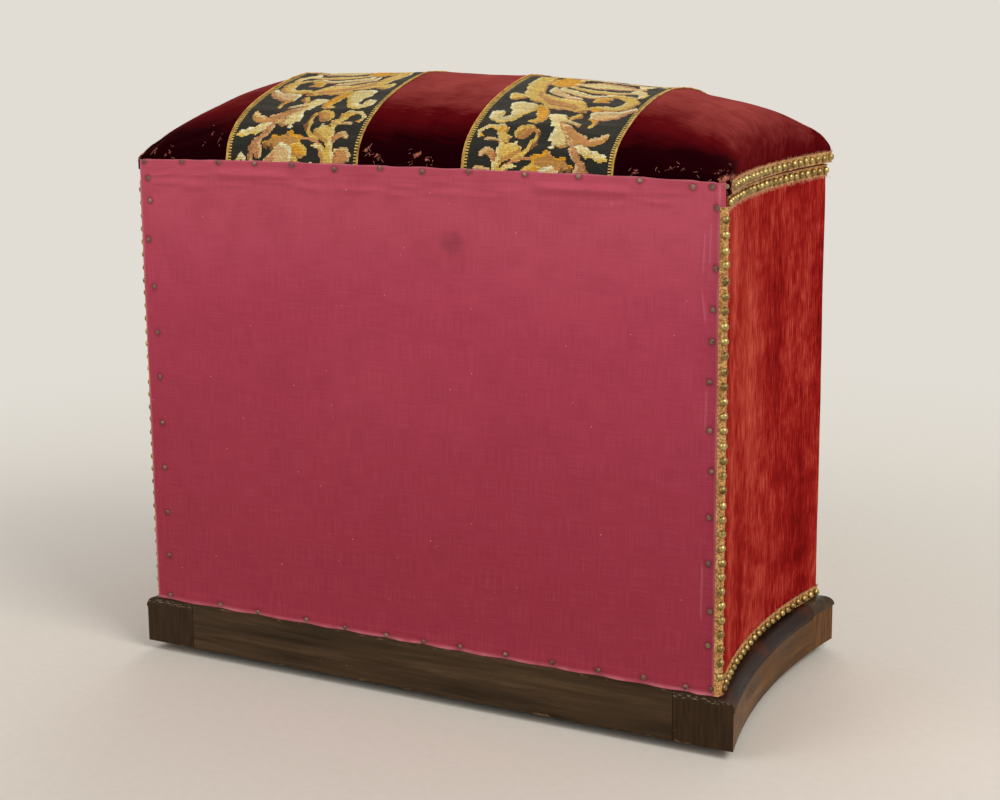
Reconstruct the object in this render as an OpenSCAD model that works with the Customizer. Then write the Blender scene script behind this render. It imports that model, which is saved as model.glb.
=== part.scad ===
// Box ottoman: an upholstered storage box on a dark plinth with concealed castors.
// Its domed, stuffed lid is hinged along the back. The sides and the front are hollow in plan.
// Width runs along X, the back faces +Y, and the castors stand on Z = 0.

/* [Box] */
// Width of the box over its covers, corner to corner
body_w = 600; // [540:10:680]
// Depth of the box from its wooden back to the front corners of its covers
body_d = 290; // [270:5:350]
// Height of the box from the plinth to the line where the lid parts from it
body_h = 437; // [360:5:480]
// How far each side curves inwards at the middle of its depth
side_hollow = 16; // [10:1:20]
// How far the front curves inwards at the middle of its width
front_hollow = 16; // [10:1:20]
// Gap between the rim of the box and the lid when it is shut
part_gap = 1; // [0.6:0.1:1.4]

/* [Plinth] */
// Height of the plinth
plinth_h = 47; // [42:1:60]
// Height of the underside of the plinth above the floor
plinth_lift = 9; // [6:1:14]
// How far the plinth stands out beyond the covers at each side
plinth_side_step = 15; // [12:1:20]
// How far the plinth stands out beyond the covers at the front
plinth_front_step = 13; // [12:1:20]
// How far the plinth stands out behind the wooden back
plinth_back_step = 3.2; // [3.1:0.1:5]
// Width of the end of a side rail, as seen from behind
side_rail_w = 57; // [52:1:64]
// Thickness of the ends of the front rail
front_rail_w = 43; // [38:1:50]
// Thickness of the back rail
back_rail_w = 22; // [18:1:28]
// Radius of the rounded moulding along the top edge
ovolo_r = 11; // [8:1:12]
// Depth of the step under the rounded moulding
ovolo_step = 1.2; // [0.6:0.2:1.8]

/* [Carcass] */
// Thickness of the floor board
floor_t = 15; // [12:1:20]
// Thickness of the bent and flat wall panels
panel_t = 6; // [4:0.5:8]
// Thickness of the side and front walls behind the panels, at the corners
wall_t = 32; // [28:1:38]
// Thickness of the back posts and the back top rail
back_wall_t = 26; // [24:1:34]
// Height of the top rails
top_rail_h = 36; // [30:1:50]
// Thickness of the lining boards inside
lining_t = 3; // [2:0.5:5]

/* [Covers] */
// Thickness of the velvet and of the needlework, with the pad under them
cover_t = 2; // [1.5:0.1:2.6]
// Thickness of the cotton back cloth
cloth_t = 0.8; // [0.6:0.1:1]
// Distance of the inner edge of each needlework strip from the middle
strip_in = 54; // [45:1:60]
// Distance of the outer edge of each needlework strip from the middle
strip_out = 198; // [185:1:210]
// Diameter of the gold cord along the strips
cord_d = 3; // [2.4:0.1:4]

/* [Trim] */
// Width of the gold braid
braid_w = 11; // [9:0.5:12]
// Thickness of the gold braid
braid_t = 1.4; // [1:0.1:1.8]
// Distance from the braid's edge to the edge that it follows
braid_edge = 0.8; // [0.5:0.1:1.5]
// Height of the lower edge of the lid's braid above the parting line
lid_braid_up = 2; // [1.5:0.1:3]
// Diameter of the domed nail heads
nail_d = 7; // [6:0.5:8]
// Height of the domed nail heads
nail_h = 2.4; // [1.8:0.1:3]
// Spacing of the nails along a row
nail_pitch = 13; // [11:0.5:16]
// Diameter of the flat tack heads on the back cloth
tack_d = 4.5; // [4:0.5:5]
// Height of the flat tack heads
tack_h = 1; // [0.8:0.1:1.2]
// Spacing of the tacks
tack_pitch = 46; // [40:1:60]
// Distance of the tack rows from the cloth's edges
tack_edge = 9; // [6:0.5:12]

/* [Lid] */
// Overhang of the lid beyond the box at each side
lid_side_over = 3; // [1:0.5:5]
// Overhang of the lid beyond the box at the front
lid_front_over = 4; // [1:0.5:6]
// Height of the lid's upright edge above the parting line
lid_edge_h = 10; // [10:0.5:14]
// Rise of the stuffed crown above the lid's upright edge
crown_h = 81; // [60:1:95]
// Thickness of the lining on the underside of the lid
pad_t = 1.5; // [1:0.1:2.5]

/* [Hinges] */
// Distance of each hinge's middle from the middle of the back
hinge_x = 170; // [120:5:200]
// Length of a hinge
leaf_l = 64; // [50:1:80]
// Width of a hinge leaf
leaf_w = 21; // [16:1:24]
// Thickness of a hinge leaf
leaf_t = 1.8; // [1.4:0.1:2]
// Diameter of the hinge knuckles
knuckle_d = 6; // [5.4:0.1:6]
// Diameter of the hinge pins
pin_d = 2.8; // [2.4:0.1:3]

/* [Castors] */
// Height of a castor from the floor to the top of its plate
castor_h = 36; // [34:1:38]
// Diameter of a castor wheel
wheel_d = 25; // [20:1:25]
// Width of a castor wheel
wheel_w = 14; // [10:1:18]
// Distance of the axle behind the swivel pin
trail = 10; // [8:1:13]
// Width of a castor plate
plate_w = 38; // [34:1:44]
// Thickness of a castor plate
plate_t = 2.5; // [2:0.1:3]
// Width of the block that a castor is screwed to
block_w = 75; // [66:1:80]

/* [Hidden] */
// Clearance between a cover and what it lies on
fit = 0.2;
// Overrun of a cut beyond the face that it opens
over = 1;
// Clearance between a hinge knuckle and what turns past it
turn_fit = 0.4;
// Radial clearance of the pins and axles in their bores
pin_fit = 0.06;
// Gap between one hinge knuckle and the next
knuckle_gap = 0.4;
// Radius at the corners of the lid's covers
lid_corner_r = 1;
// Clearance between the nail heads and the braid
nail_fit = 0.05;
// Distance of the first nail of a row from the corner
nail_end = 6;
// Distance of the back end of the lid's braid from the back
lid_braid_start = 8;
// Gap between the lining walls and the pad under the lid
pad_gap = 4;
// Radius of a castor's swivel pin
swivel_r = 3;
// Radius of a castor's swivel boss
boss_r = 7;
// Thickness of the rivet head under the swivel pin
rivet_h = 1.4;
// Radius of the rivet heads on the swivel pin and the axle
rivet_r = 4.4;
// Thickness of the fork's bridge
bridge_t = 3.5;
// Thickness of the fork's cheeks
cheek_t = 2.4;
// Radius of the fork's cheeks round the axle
cheek_r = 5;
// Half the length of the fork's bridge ahead of the swivel pin
bridge_nose = 8;
// Clearance between the fork and the wheel or the plate
castor_fit = 0.5;
// Radius of a castor's axle
axle_r = 2.5;
// Rounding of the wheel's tread
tread_r = 2;
// Depth of the hollow in each face of a wheel
wheel_dish = 1.5;
// Width of a wheel's rim beside the hollow
wheel_rim = 3;
// Radius of a wheel's hub
hub_r = 5.2;

// Shape of the crown from the middle to the left side and to the right side: how far it falls,
// the power of its shoulder and the root taken after it. The left side is the flatter one.
crown_left = [0.22, 8, 5];
crown_right = [0.034, 4.23, 3.88];
// Shape of the crown from the middle to the back and to the front: a power and its root
crown_back = [1.3, 2.3];
crown_front = [2, 2.79];
// Share by which the crown leans upwards to the right
crown_tilt = 0.054;
// Facets of the covers: rows from front to back, and columns of each strip
crown_rows = 22;
outer_cols = 9;
strip_cols = 5;
middle_cols = 3;
cord_sides = 6;
// Segments of the long flat arcs
arc_fn = 720;
$fn = 32;

total_d = body_d + plinth_front_step + plinth_back_step;
plinth_half_w = body_w / 2 + plinth_side_step;
plinth_front = -total_d / 2;
plinth_back = total_d / 2;
back_y = plinth_back - plinth_back_step;
front_y = plinth_front + plinth_front_step;
half_w = body_w / 2;
box_z = plinth_lift + plinth_h;
part_z = box_z + body_h;
rim_z = part_z - part_gap / 2;
lid_z = part_z + part_gap / 2;
crown_z = part_z + lid_edge_h;
floor_z = box_z + floor_t;
panel_in = cover_t + panel_t;
wall_x = half_w - panel_in - wall_t;
wall_front = front_y + panel_in + wall_t;
wall_back = back_y - panel_t - back_wall_t;
lid_half_w = half_w + lid_side_over;
lid_front = front_y - lid_front_over;
lid_back = back_y - fit / 2;
knuckle_r = knuckle_d / 2;
notch_r = knuckle_r + turn_fit;
pin_r = pin_d / 2;
knuckle_l = leaf_l / 5;
inner_x = plinth_half_w - side_rail_w;
castor_x = inner_x - block_w / 2;
castor_back_y = plinth_back - back_rail_w - block_w / 2;
castor_front_y = plinth_front + front_rail_w + block_w / 2;
wheel_r = wheel_d / 2;
plate_z = castor_h - plate_t;
bridge_top = plate_z - castor_fit - rivet_h;
cheek_x = wheel_w / 2 + castor_fit;
nail_ball_r = (nail_h * nail_h + nail_d * nail_d / 4) / (2 * nail_h);
top_braid_z = rim_z - braid_edge - braid_w;
bottom_braid_z = box_z + braid_edge;
lid_braid_z = part_z + lid_braid_up;
flap_z = part_z + knuckle_r + cloth_t;
cloth_top_z = part_z - knuckle_r - cloth_t;

CASTORS = [
    ["back_left", -1, castor_back_y],
    ["back_right", 1, castor_back_y],
    ["front_left", -1, castor_front_y],
    ["front_right", 1, castor_front_y],
];

// Radius of an arc with a given chord and a given rise at its middle
function arc_r(chord, rise) = (chord * chord / 4 + rise * rise) / (2 * rise);

// Angle in degrees of a length along an arc
function arc_angle(along, r) = along / r * 180 / PI;

// Length of the arc over a chord
function arc_length(chord, r) = 2 * r * asin(chord / 2 / r) * PI / 180;

// Plan of the box, the lid or the plinth: square corners with hollow sides and a hollow front,
// drawn inset from its outer faces and run on past its back by run_on
module hollow_plan(half, front, back, inset = 0, run_on = 0) {
    side_r = arc_r(back - front, side_hollow);
    front_r = arc_r(2 * half, front_hollow);
    difference() {
        translate([-half + inset, front + inset])
            square([2 * (half - inset), back - front - inset + run_on]);
        for (side = [-1, 1])
            translate([side * (half - side_hollow + side_r), (front + back) / 2])
                circle(r = side_r + inset, $fn = arc_fn);
        translate([0, front + front_hollow - front_r])
            circle(r = front_r + inset, $fn = arc_fn);
    }
}

module box_plan(inset, run_on = 0) {
    hollow_plan(half_w, front_y, back_y, inset, run_on);
}

// A skin round the two sides and the front of the box, between two insets
module box_band(outer, inner) {
    difference() {
        box_plan(outer);
        box_plan(inner, over);
    }
}

module raise(z, height) {
    translate([0, 0, z]) linear_extrude(height) children();
}

// A rectangle in plan from corner to corner
module plan_box(x0, y0, x1, y1) {
    translate([x0, y0]) square([x1 - x0, y1 - y0]);
}

// Puts a child on a hollow side, upright axis outwards, at a length along it from its middle
module on_side(half, front, back, side, along, out) {
    r = arc_r(back - front, side_hollow);
    translate([side * (half - side_hollow + r), (front + back) / 2, 0])
        rotate([0, 0, -side * arc_angle(along, r)])
            translate([-side * (r - out), 0, 0])
                rotate([0, side * 90, 0]) children();
}

// Puts a child on the hollow front, upright axis outwards, at a length along it from its middle
module on_front(half, front, along, out) {
    r = arc_r(2 * half, front_hollow);
    translate([0, front + front_hollow - r, 0])
        rotate([0, 0, -arc_angle(along, r)])
            translate([0, r - out, 0])
                rotate([90, 0, 0]) children();
}

// Moulded section of a plinth rail, from its outer face inwards, at a radius
module rail_section(r, depth) {
    translate([r, plinth_lift]) {
        difference() {
            square([depth, plinth_h]);
            translate([0, plinth_h - ovolo_r]) difference() {
                translate([-over, 0]) square([ovolo_r + over, ovolo_r + over]);
                translate([ovolo_r, 0]) circle(r = ovolo_r);
            }
            translate([-over, -over])
                square([ovolo_step + over, plinth_h - ovolo_r + over]);
        }
    }
}

// The moulded faces of the plinth that lie behind one hollow side
module side_moulding(side) {
    r = arc_r(total_d, side_hollow);
    translate([side * (plinth_half_w - side_hollow + r), 0, 0])
        rotate_extrude($fn = arc_fn) rail_section(r, 2 * plinth_half_w);
}

module front_moulding() {
    r = arc_r(2 * plinth_half_w, front_hollow);
    translate([0, plinth_front + front_hollow - r, 0])
        rotate_extrude($fn = arc_fn) rail_section(r, total_d);
}

module side_rail(side) {
    intersection() {
        side_moulding(side);
        raise(plinth_lift, plinth_h)
            plan_box(
                side > 0 ? inner_x : -plinth_half_w,
                plinth_front + front_rail_w,
                side > 0 ? plinth_half_w : -inner_x,
                plinth_back
            );
    }
}

module plinth_left_rail() {
    color([0.20, 0.13, 0.09]) side_rail(-1);
}

module plinth_right_rail() {
    color([0.20, 0.13, 0.09]) side_rail(1);
}

module plinth_back_rail() {
    color([0.25, 0.17, 0.12]) raise(plinth_lift, plinth_h)
        plan_box(-inner_x, plinth_back - back_rail_w, inner_x, plinth_back);
}

module plinth_front_rail() {
    color([0.20, 0.13, 0.09]) intersection() {
        front_moulding();
        side_moulding(-1);
        side_moulding(1);
        raise(plinth_lift, plinth_h)
            plan_box(-plinth_half_w, plinth_front, plinth_half_w, plinth_front + front_rail_w);
    }
}

module castor_blocks() {
    color([0.62, 0.47, 0.30]) for (castor = CASTORS)
        raise(castor_h, box_z - castor_h)
            translate([castor[1] * castor_x - block_w / 2, castor[2] - block_w / 2])
                square([block_w, block_w]);
}

// Plate with its swivel pin, riveted over under the fork
module castor_plate() {
    translate([-plate_w / 2, -plate_w / 2, plate_z]) cube([plate_w, plate_w, plate_t]);
    translate([0, 0, bridge_top - bridge_t - castor_fit - rivet_h])
        cylinder(r = swivel_r, h = plate_z - bridge_top + bridge_t + castor_fit + rivet_h);
    translate([0, 0, bridge_top - bridge_t - castor_fit - rivet_h])
        cylinder(r = rivet_r, h = rivet_h);
}

module castor_plates() {
    color([0.55, 0.42, 0.20]) for (castor = CASTORS)
        translate([castor[1] * castor_x, castor[2], 0]) castor_plate();
}

// Outline of a fork cheek, with the swivel pin's axis at zero
module cheek_outline() {
    polygon([
        [-bridge_nose, bridge_top],
        [trail + cheek_r, bridge_top],
        [trail + cheek_r, wheel_r],
        [trail - cheek_r, wheel_r],
        [-bridge_nose, bridge_top - bridge_t],
    ]);
    translate([trail, wheel_r]) circle(r = cheek_r);
}

// Fork with the axle riveted in its cheeks
module castor_fork() {
    difference() {
        union() {
            translate([-cheek_x, -bridge_nose, bridge_top - bridge_t])
                cube([2 * cheek_x, bridge_nose + boss_r, bridge_t]);
            translate([0, 0, bridge_top]) cylinder(r = boss_r, h = rivet_h);
            for (side = [-1, 1])
                translate([side * (cheek_x + cheek_t / 2) - cheek_t / 2, 0, 0])
                    rotate([90, 0, 90]) linear_extrude(cheek_t) cheek_outline();
        }
        translate([0, 0, bridge_top - bridge_t - over])
            cylinder(r = swivel_r + pin_fit, h = bridge_t + rivet_h + 2 * over);
    }
    translate([-cheek_x - over, trail, wheel_r]) rotate([0, 90, 0])
        cylinder(r = axle_r, h = 2 * (cheek_x + over));
    for (side = [-1, 1])
        translate([side * (cheek_x + cheek_t), trail, wheel_r]) rotate([0, side * 90, 0])
            cylinder(r1 = rivet_r, r2 = axle_r, h = rivet_h);
}

// Wheel with a rounded tread and dished faces
module castor_wheel() {
    translate([0, trail, wheel_r]) rotate([0, 90, 0]) rotate_extrude($fn = 64)
        difference() {
            union() {
                translate([axle_r + pin_fit, -wheel_w / 2])
                    square([wheel_r - tread_r - axle_r - pin_fit, wheel_w]);
                translate([wheel_r - tread_r - over, -wheel_w / 2 + tread_r])
                    square([tread_r + over, wheel_w - 2 * tread_r]);
                for (side = [-1, 1])
                    translate([wheel_r - tread_r, side * (wheel_w / 2 - tread_r)])
                        circle(r = tread_r);
            }
            for (side = [-1, 1])
                translate([hub_r, side * wheel_w / 2 - wheel_dish])
                    square([wheel_r - wheel_rim - hub_r, 2 * wheel_dish]);
        }
}

module fork_at(index) {
    color([0.60, 0.45, 0.22])
        translate([CASTORS[index][1] * castor_x, CASTORS[index][2], 0]) castor_fork();
}

module wheel_at(index) {
    color([0.45, 0.33, 0.18])
        translate([CASTORS[index][1] * castor_x, CASTORS[index][2], 0]) castor_wheel();
}

module floor_board() {
    color([0.72, 0.56, 0.36]) raise(box_z, floor_t) intersection() {
        box_plan(panel_in);
        plan_box(-half_w, front_y, half_w, back_y - panel_t);
    }
}

module back_post(side) {
    raise(floor_z, rim_z - floor_z) intersection() {
        box_plan(panel_in);
        plan_box(
            side > 0 ? wall_x : -half_w, wall_back,
            side > 0 ? half_w : -wall_x, back_y - panel_t
        );
    }
}

module front_post(side) {
    raise(floor_z, rim_z - floor_z) intersection() {
        box_plan(panel_in);
        plan_box(
            side > 0 ? wall_x : -half_w, front_y,
            side > 0 ? half_w : -wall_x, wall_front
        );
    }
}

module post_back_left() {
    color([0.70, 0.54, 0.34]) back_post(-1);
}

module post_back_right() {
    color([0.70, 0.54, 0.34]) back_post(1);
}

module post_front_left() {
    color([0.70, 0.54, 0.34]) front_post(-1);
}

module post_front_right() {
    color([0.70, 0.54, 0.34]) front_post(1);
}

// Recesses for the hinge leaves and knuckles, cut down into the rim of the box
module rim_hinge_cuts() {
    for (side = [-1, 1]) translate([side * hinge_x - leaf_l / 2 - fit, 0, 0]) {
        translate([0, back_y - leaf_w - fit, rim_z - leaf_t])
            cube([leaf_l + 2 * fit, leaf_w + fit + over, leaf_t + over]);
        translate([0, back_y - notch_r, part_z - notch_r])
            cube([leaf_l + 2 * fit, notch_r + over, notch_r + over]);
    }
}

module top_rail_back() {
    color([0.74, 0.58, 0.38]) difference() {
        raise(rim_z - top_rail_h, top_rail_h)
            plan_box(-wall_x, wall_back, wall_x, back_y - panel_t);
        rim_hinge_cuts();
    }
}

module top_rail_front() {
    color([0.74, 0.58, 0.38]) raise(rim_z - top_rail_h, top_rail_h) intersection() {
        box_plan(panel_in);
        plan_box(-wall_x, front_y, wall_x, wall_front);
    }
}

module side_top_rail(side) {
    raise(rim_z - top_rail_h, top_rail_h) intersection() {
        box_plan(panel_in);
        plan_box(
            side > 0 ? wall_x : -half_w, wall_front,
            side > 0 ? half_w : -wall_x, wall_back
        );
    }
}

module top_rail_left() {
    color([0.74, 0.58, 0.38]) side_top_rail(-1);
}

module top_rail_right() {
    color([0.74, 0.58, 0.38]) side_top_rail(1);
}

module panel_back() {
    color([0.66, 0.50, 0.32]) difference() {
        raise(box_z, rim_z - box_z) intersection() {
            box_plan(panel_in);
            plan_box(-half_w, back_y - panel_t, half_w, back_y);
        }
        rim_hinge_cuts();
    }
}

// Ground that a side wall keeps where it meets the front wall in a mitre
module side_ground(side) {
    polygon([
        [side * half_w, front_y],
        [side * (half_w - body_d), back_y],
        [side * (half_w + body_d), back_y],
        [side * (half_w + body_d), front_y],
    ]);
}

module panel_side(side) {
    raise(box_z, rim_z - box_z) intersection() {
        box_band(cover_t, panel_in);
        side_ground(side);
    }
}

module panel_left() {
    color([0.66, 0.50, 0.32]) panel_side(-1);
}

module panel_right() {
    color([0.66, 0.50, 0.32]) panel_side(1);
}

module panel_front() {
    color([0.66, 0.50, 0.32]) raise(box_z, rim_z - box_z) difference() {
        box_band(cover_t, panel_in);
        side_ground(-1);
        side_ground(1);
    }
}

module lining_back() {
    color([0.78, 0.70, 0.56]) raise(floor_z, rim_z - floor_z)
        plan_box(-wall_x, wall_back - lining_t, wall_x, wall_back);
}

module lining_front() {
    color([0.78, 0.70, 0.56]) raise(floor_z, rim_z - floor_z)
        plan_box(-wall_x, wall_front, wall_x, wall_front + lining_t);
}

module lining_side(side) {
    raise(floor_z, rim_z - floor_z)
        plan_box(
            side > 0 ? wall_x - lining_t : -wall_x, wall_front + lining_t,
            side > 0 ? wall_x : -wall_x + lining_t, wall_back - lining_t
        );
}

module lining_left() {
    color([0.78, 0.70, 0.56]) lining_side(-1);
}

module lining_right() {
    color([0.78, 0.70, 0.56]) lining_side(1);
}

// A stretch of the box's cover, cut between two places across the width
module box_cover(x0, x1) {
    raise(box_z + fit, rim_z - box_z - fit) intersection() {
        box_band(0, cover_t - fit);
        plan_box(x0, front_y, x1, back_y);
    }
}

module side_velvet_left() {
    color([0.62, 0.12, 0.11]) box_cover(-half_w, -strip_out);
}

module side_velvet_right() {
    color([0.62, 0.12, 0.11]) box_cover(strip_out, half_w);
}

module front_velvet() {
    color([0.62, 0.12, 0.11]) box_cover(-strip_in, strip_in);
}

module front_needlework_left() {
    color([0.72, 0.58, 0.34]) box_cover(-strip_out, -strip_in);
}

module front_needlework_right() {
    color([0.72, 0.58, 0.34]) box_cover(strip_in, strip_out);
}

module front_edging() {
    color([0.80, 0.64, 0.30]) for (x = [-strip_out, -strip_in, strip_in, strip_out])
        on_front(half_w, front_y, x, fit + cord_d / 2)
            translate([0, bottom_braid_z + braid_w, 0]) rotate([-90, 0, 0])
                cylinder(d = cord_d, h = top_braid_z - bottom_braid_z - braid_w);
}

module braid_band(z) {
    raise(z, braid_w) box_band(-fit - braid_t, -fit);
}

module top_braid() {
    color([0.76, 0.60, 0.30]) braid_band(top_braid_z);
}

module bottom_braid() {
    color([0.76, 0.60, 0.30]) braid_band(bottom_braid_z);
}

module corner_braids() {
    z = bottom_braid_z + braid_w;
    color([0.76, 0.60, 0.30]) raise(z, top_braid_z - z) intersection() {
        box_band(-fit - braid_t, -fit);
        plan_box(-plinth_half_w, back_y - braid_w, plinth_half_w, back_y);
    }
}

// Domed head of a nail
module nail() {
    intersection() {
        translate([0, 0, nail_h - nail_ball_r]) sphere(r = nail_ball_r);
        cylinder(r = nail_d, h = nail_h);
    }
}

// A row of nails round two sides and the front, at a height, over the braid
module nail_row(half, front, back, z, back_gap = 0) {
    side_len = arc_length(back - front, arc_r(back - front, side_hollow)) - 2 * nail_end;
    front_len = arc_length(2 * half, arc_r(2 * half, front_hollow)) - 2 * nail_end;
    out = 2 * fit + braid_t + nail_fit;
    side_steps = round((side_len - back_gap) / nail_pitch);
    front_steps = round(front_len / nail_pitch);
    for (side = [-1, 1]) for (i = [0 : side_steps])
        on_side(half, front, back, side, -side_len / 2 + i * (side_len - back_gap) / side_steps, out)
            translate([-side * z, 0, 0]) nail();
    for (i = [0 : front_steps])
        on_front(half, front, -front_len / 2 + i * front_len / front_steps, out)
            translate([0, z, 0]) nail();
}

// The two upright rows of nails beside the back corners
module corner_nails() {
    side_len = arc_length(body_d, arc_r(body_d, side_hollow));
    low = bottom_braid_z + braid_w / 2;
    high = top_braid_z + braid_w / 2;
    steps = round((high - low) / nail_pitch);
    for (side = [-1, 1]) for (i = [1 : steps - 1])
        on_side(half_w, front_y, back_y, side, side_len / 2 - nail_end, 2 * fit + braid_t + nail_fit)
            translate([-side * (low + i * (high - low) / steps), 0, 0]) nail();
}

module body_nails() {
    color([0.70, 0.56, 0.28]) {
        nail_row(half_w, front_y, back_y, top_braid_z + braid_w / 2);
        nail_row(half_w, front_y, back_y, bottom_braid_z + braid_w / 2);
        corner_nails();
    }
}

module back_cloth() {
    color([0.66, 0.24, 0.34]) translate([-half_w + fit, back_y + fit, box_z + fit])
        cube([body_w - 2 * fit, cloth_t, cloth_top_z - box_z - fit]);
}

// Flat tack heads on the back cloth, from one place to another along a row
module tack_row(x0, z0, x1, z1) {
    run = norm([x1 - x0, z1 - z0]);
    steps = round(run / tack_pitch);
    for (i = [0 : steps])
        translate([x0 + i * (x1 - x0) / steps, back_y + 2 * fit + cloth_t, z0 + i * (z1 - z0) / steps])
            rotate([-90, 0, 0]) cylinder(d = tack_d, h = tack_h);
}

module back_tacks() {
    x = half_w - tack_edge;
    low = box_z + tack_edge;
    high = cloth_top_z - tack_pitch / 2;
    color([0.42, 0.38, 0.32]) {
        tack_row(-x, low, x, low);
        tack_row(-x, low + tack_pitch, -x, high);
        tack_row(x, low + tack_pitch, x, high);
    }
}

module lid_cloth_flap() {
    color([0.66, 0.24, 0.34]) translate([-half_w + fit, back_y + fit, flap_z])
        cube([body_w - 2 * fit, cloth_t, part_z + lid_edge_h - flap_z]);
}

module lid_flap_tacks() {
    z = flap_z + (part_z + lid_edge_h - flap_z) / 2;
    color([0.42, 0.38, 0.32]) tack_row(-half_w + tack_edge, z, half_w - tack_edge, z);
}

// Knuckles of a hinge along its axis, over the listed fifths of its length
module knuckles(places, r, gap) {
    for (i = places)
        translate([-leaf_l / 2 + i * knuckle_l + gap / 2, 0, 0]) rotate([0, 90, 0])
            cylinder(r = r, h = knuckle_l - gap);
}

// A hinge leaf with its own knuckles, cleared round the other leaf's and bored for the pin
module hinge_leaf(own, other, leaf_z) {
    difference() {
        union() {
            translate([-leaf_l / 2, -leaf_w, leaf_z]) cube([leaf_l, leaf_w, leaf_t]);
            knuckles(own, knuckle_r, knuckle_gap);
        }
        knuckles(other, notch_r, 0);
        translate([-leaf_l / 2 - over, 0, 0]) rotate([0, 90, 0])
            cylinder(r = pin_r + pin_fit, h = leaf_l + 2 * over);
    }
}

module hinge_base_leaves() {
    color([0.58, 0.46, 0.24]) for (side = [-1, 1])
        translate([side * hinge_x, back_y, part_z])
            hinge_leaf([0, 2, 4], [1, 3], -part_gap / 2 - leaf_t);
}

module hinge_lid_leaves() {
    color([0.58, 0.46, 0.24]) for (side = [-1, 1])
        translate([side * hinge_x, back_y, part_z])
            hinge_leaf([1, 3], [0, 2, 4], part_gap / 2);
}

module hinge_pins() {
    color([0.50, 0.48, 0.44]) for (side = [-1, 1])
        translate([side * hinge_x - leaf_l / 2, back_y, part_z]) rotate([0, 90, 0])
            cylinder(r = pin_r, h = leaf_l);
}

module lid_board() {
    inset = cover_t + fit;
    color([0.72, 0.56, 0.36]) difference() {
        raise(lid_z, crown_z - lid_z) intersection() {
            hollow_plan(lid_half_w, lid_front, lid_back, inset);
            plan_box(-lid_half_w, lid_front, lid_half_w, lid_back - inset);
        }
        for (side = [-1, 1]) translate([side * hinge_x - leaf_l / 2 - fit, 0, 0]) {
            translate([0, back_y - leaf_w - fit, lid_z - over])
                cube([leaf_l + 2 * fit, leaf_w, leaf_t + over]);
            translate([0, back_y - notch_r, lid_z - over])
                cube([leaf_l + 2 * fit, notch_r, part_z + notch_r - lid_z + over]);
        }
    }
}

// Half the width of the lid at a share t of its depth, from -1 at the front to 1 at the back
function lid_half(t, inset) = lid_half_w - inset - side_hollow * (1 - t * t);

// Place across the width of a column of the lid's covers
function lid_x(x, t, inset) =
    abs(x) <= strip_out ? x :
    sign(x) * (strip_out + (abs(x) - strip_out) / (lid_half_w - strip_out)
        * (lid_half(t, inset) - strip_out));

// Place from front to back of a row of the lid's covers, at a column
function lid_y(x, t, inset) =
    let (
        share = x / lid_half_w,
        front = lid_front + inset + front_hollow * (1 - share * share),
        back = lid_back - inset
    )
    (back + front) / 2 + t * (back - front) / 2;

// Height of the crown above its foot
function crown_rise(x, t, inset) =
    let (
        u = abs(x) >= lid_half_w ? 1 : abs(lid_x(x, t, inset)) / lid_half(t, inset),
        across = x < 0 ? crown_left : crown_right,
        along = t < 0 ? crown_front : crown_back
    )
    (crown_h - inset)
        * (1 + sign(x) * crown_tilt * u - across[0] * u * u)
        * pow(max(0, 1 - pow(u, across[1])), 1 / across[2])
        * pow(max(0, 1 - pow(abs(t), along[0])), 1 / along[1]);

function crown_point(x, t, inset) =
    [lid_x(x, t, inset), lid_y(x, t, inset), crown_z + crown_rise(x, t, inset)];

// Rows close up towards the front and the back, where the crown is steep
function row_share(j) = -cos(180 * j / crown_rows);

// Columns of one cover, evenly spaced inside the strips and closing up towards the lid's sides
function even_cols(x0, x1, n) = [for (i = [0 : n]) x0 + (x1 - x0) * i / n];
function right_cols(x0) =
    [for (i = [0 : outer_cols]) x0 + (lid_half_w - x0) * sin(90 * i / outer_cols)];
function left_cols(x0) =
    [for (i = [0 : outer_cols]) -x0 - (lid_half_w - x0) * cos(90 * i / outer_cols)];

// Corner of the lid's edge, cut back a little, so that the upright edge turns it in two steps
function edge_point(x, t, inset, cut_x, cut_y, z) =
    [
        lid_x(x, t, inset) - sign(x) * cut_x,
        lid_y(x, t, inset) - sign(t) * cut_y,
        z
    ];

// One column of points over the lid, with the foot of the upright edge at both ends
function cover_column(x, inset) =
    let (
        at_side = abs(x) >= lid_half_w,
        cut = at_side ? lid_corner_r : 0,
        half_cut = cut * (1 - 1 / sqrt(2)),
        foot = lid_z + fit
    )
    concat(
        [edge_point(x, -1, inset, cut, 0, foot)],
        [
            for (j = [0 : crown_rows])
                let (t = row_share(j), at_end = j == 0 || j == crown_rows, c = at_end ? half_cut : 0)
                crown_point(x, t, inset) - [sign(x) * c, sign(t) * c, 0]
        ],
        [edge_point(x, 1, inset, cut, 0, flap_z)]
    );

// The extra column at the foot of a side's upright edge
function foot_column(side, inset) =
    let (x = side * lid_half_w, c = lid_corner_r, h = lid_corner_r * (1 - 1 / sqrt(2)), foot = lid_z + fit)
    concat(
        [edge_point(x, -1, inset, h, h, foot)],
        [
            for (j = [0 : crown_rows])
                let (t = row_share(j), at_end = j == 0 || j == crown_rows)
                edge_point(x, t, inset, 0, at_end ? c : 0, foot)
        ],
        [edge_point(x, 1, inset, h, h, flap_z)]
    );

function cover_grid(cols, inset, side) =
    concat(
        side < 0 ? [foot_column(-1, inset)] : [],
        [for (x = cols) cover_column(x, inset)],
        side > 0 ? [foot_column(1, inset)] : []
    );

function flat(rows) = [for (row = rows) for (point = row) point];

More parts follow.
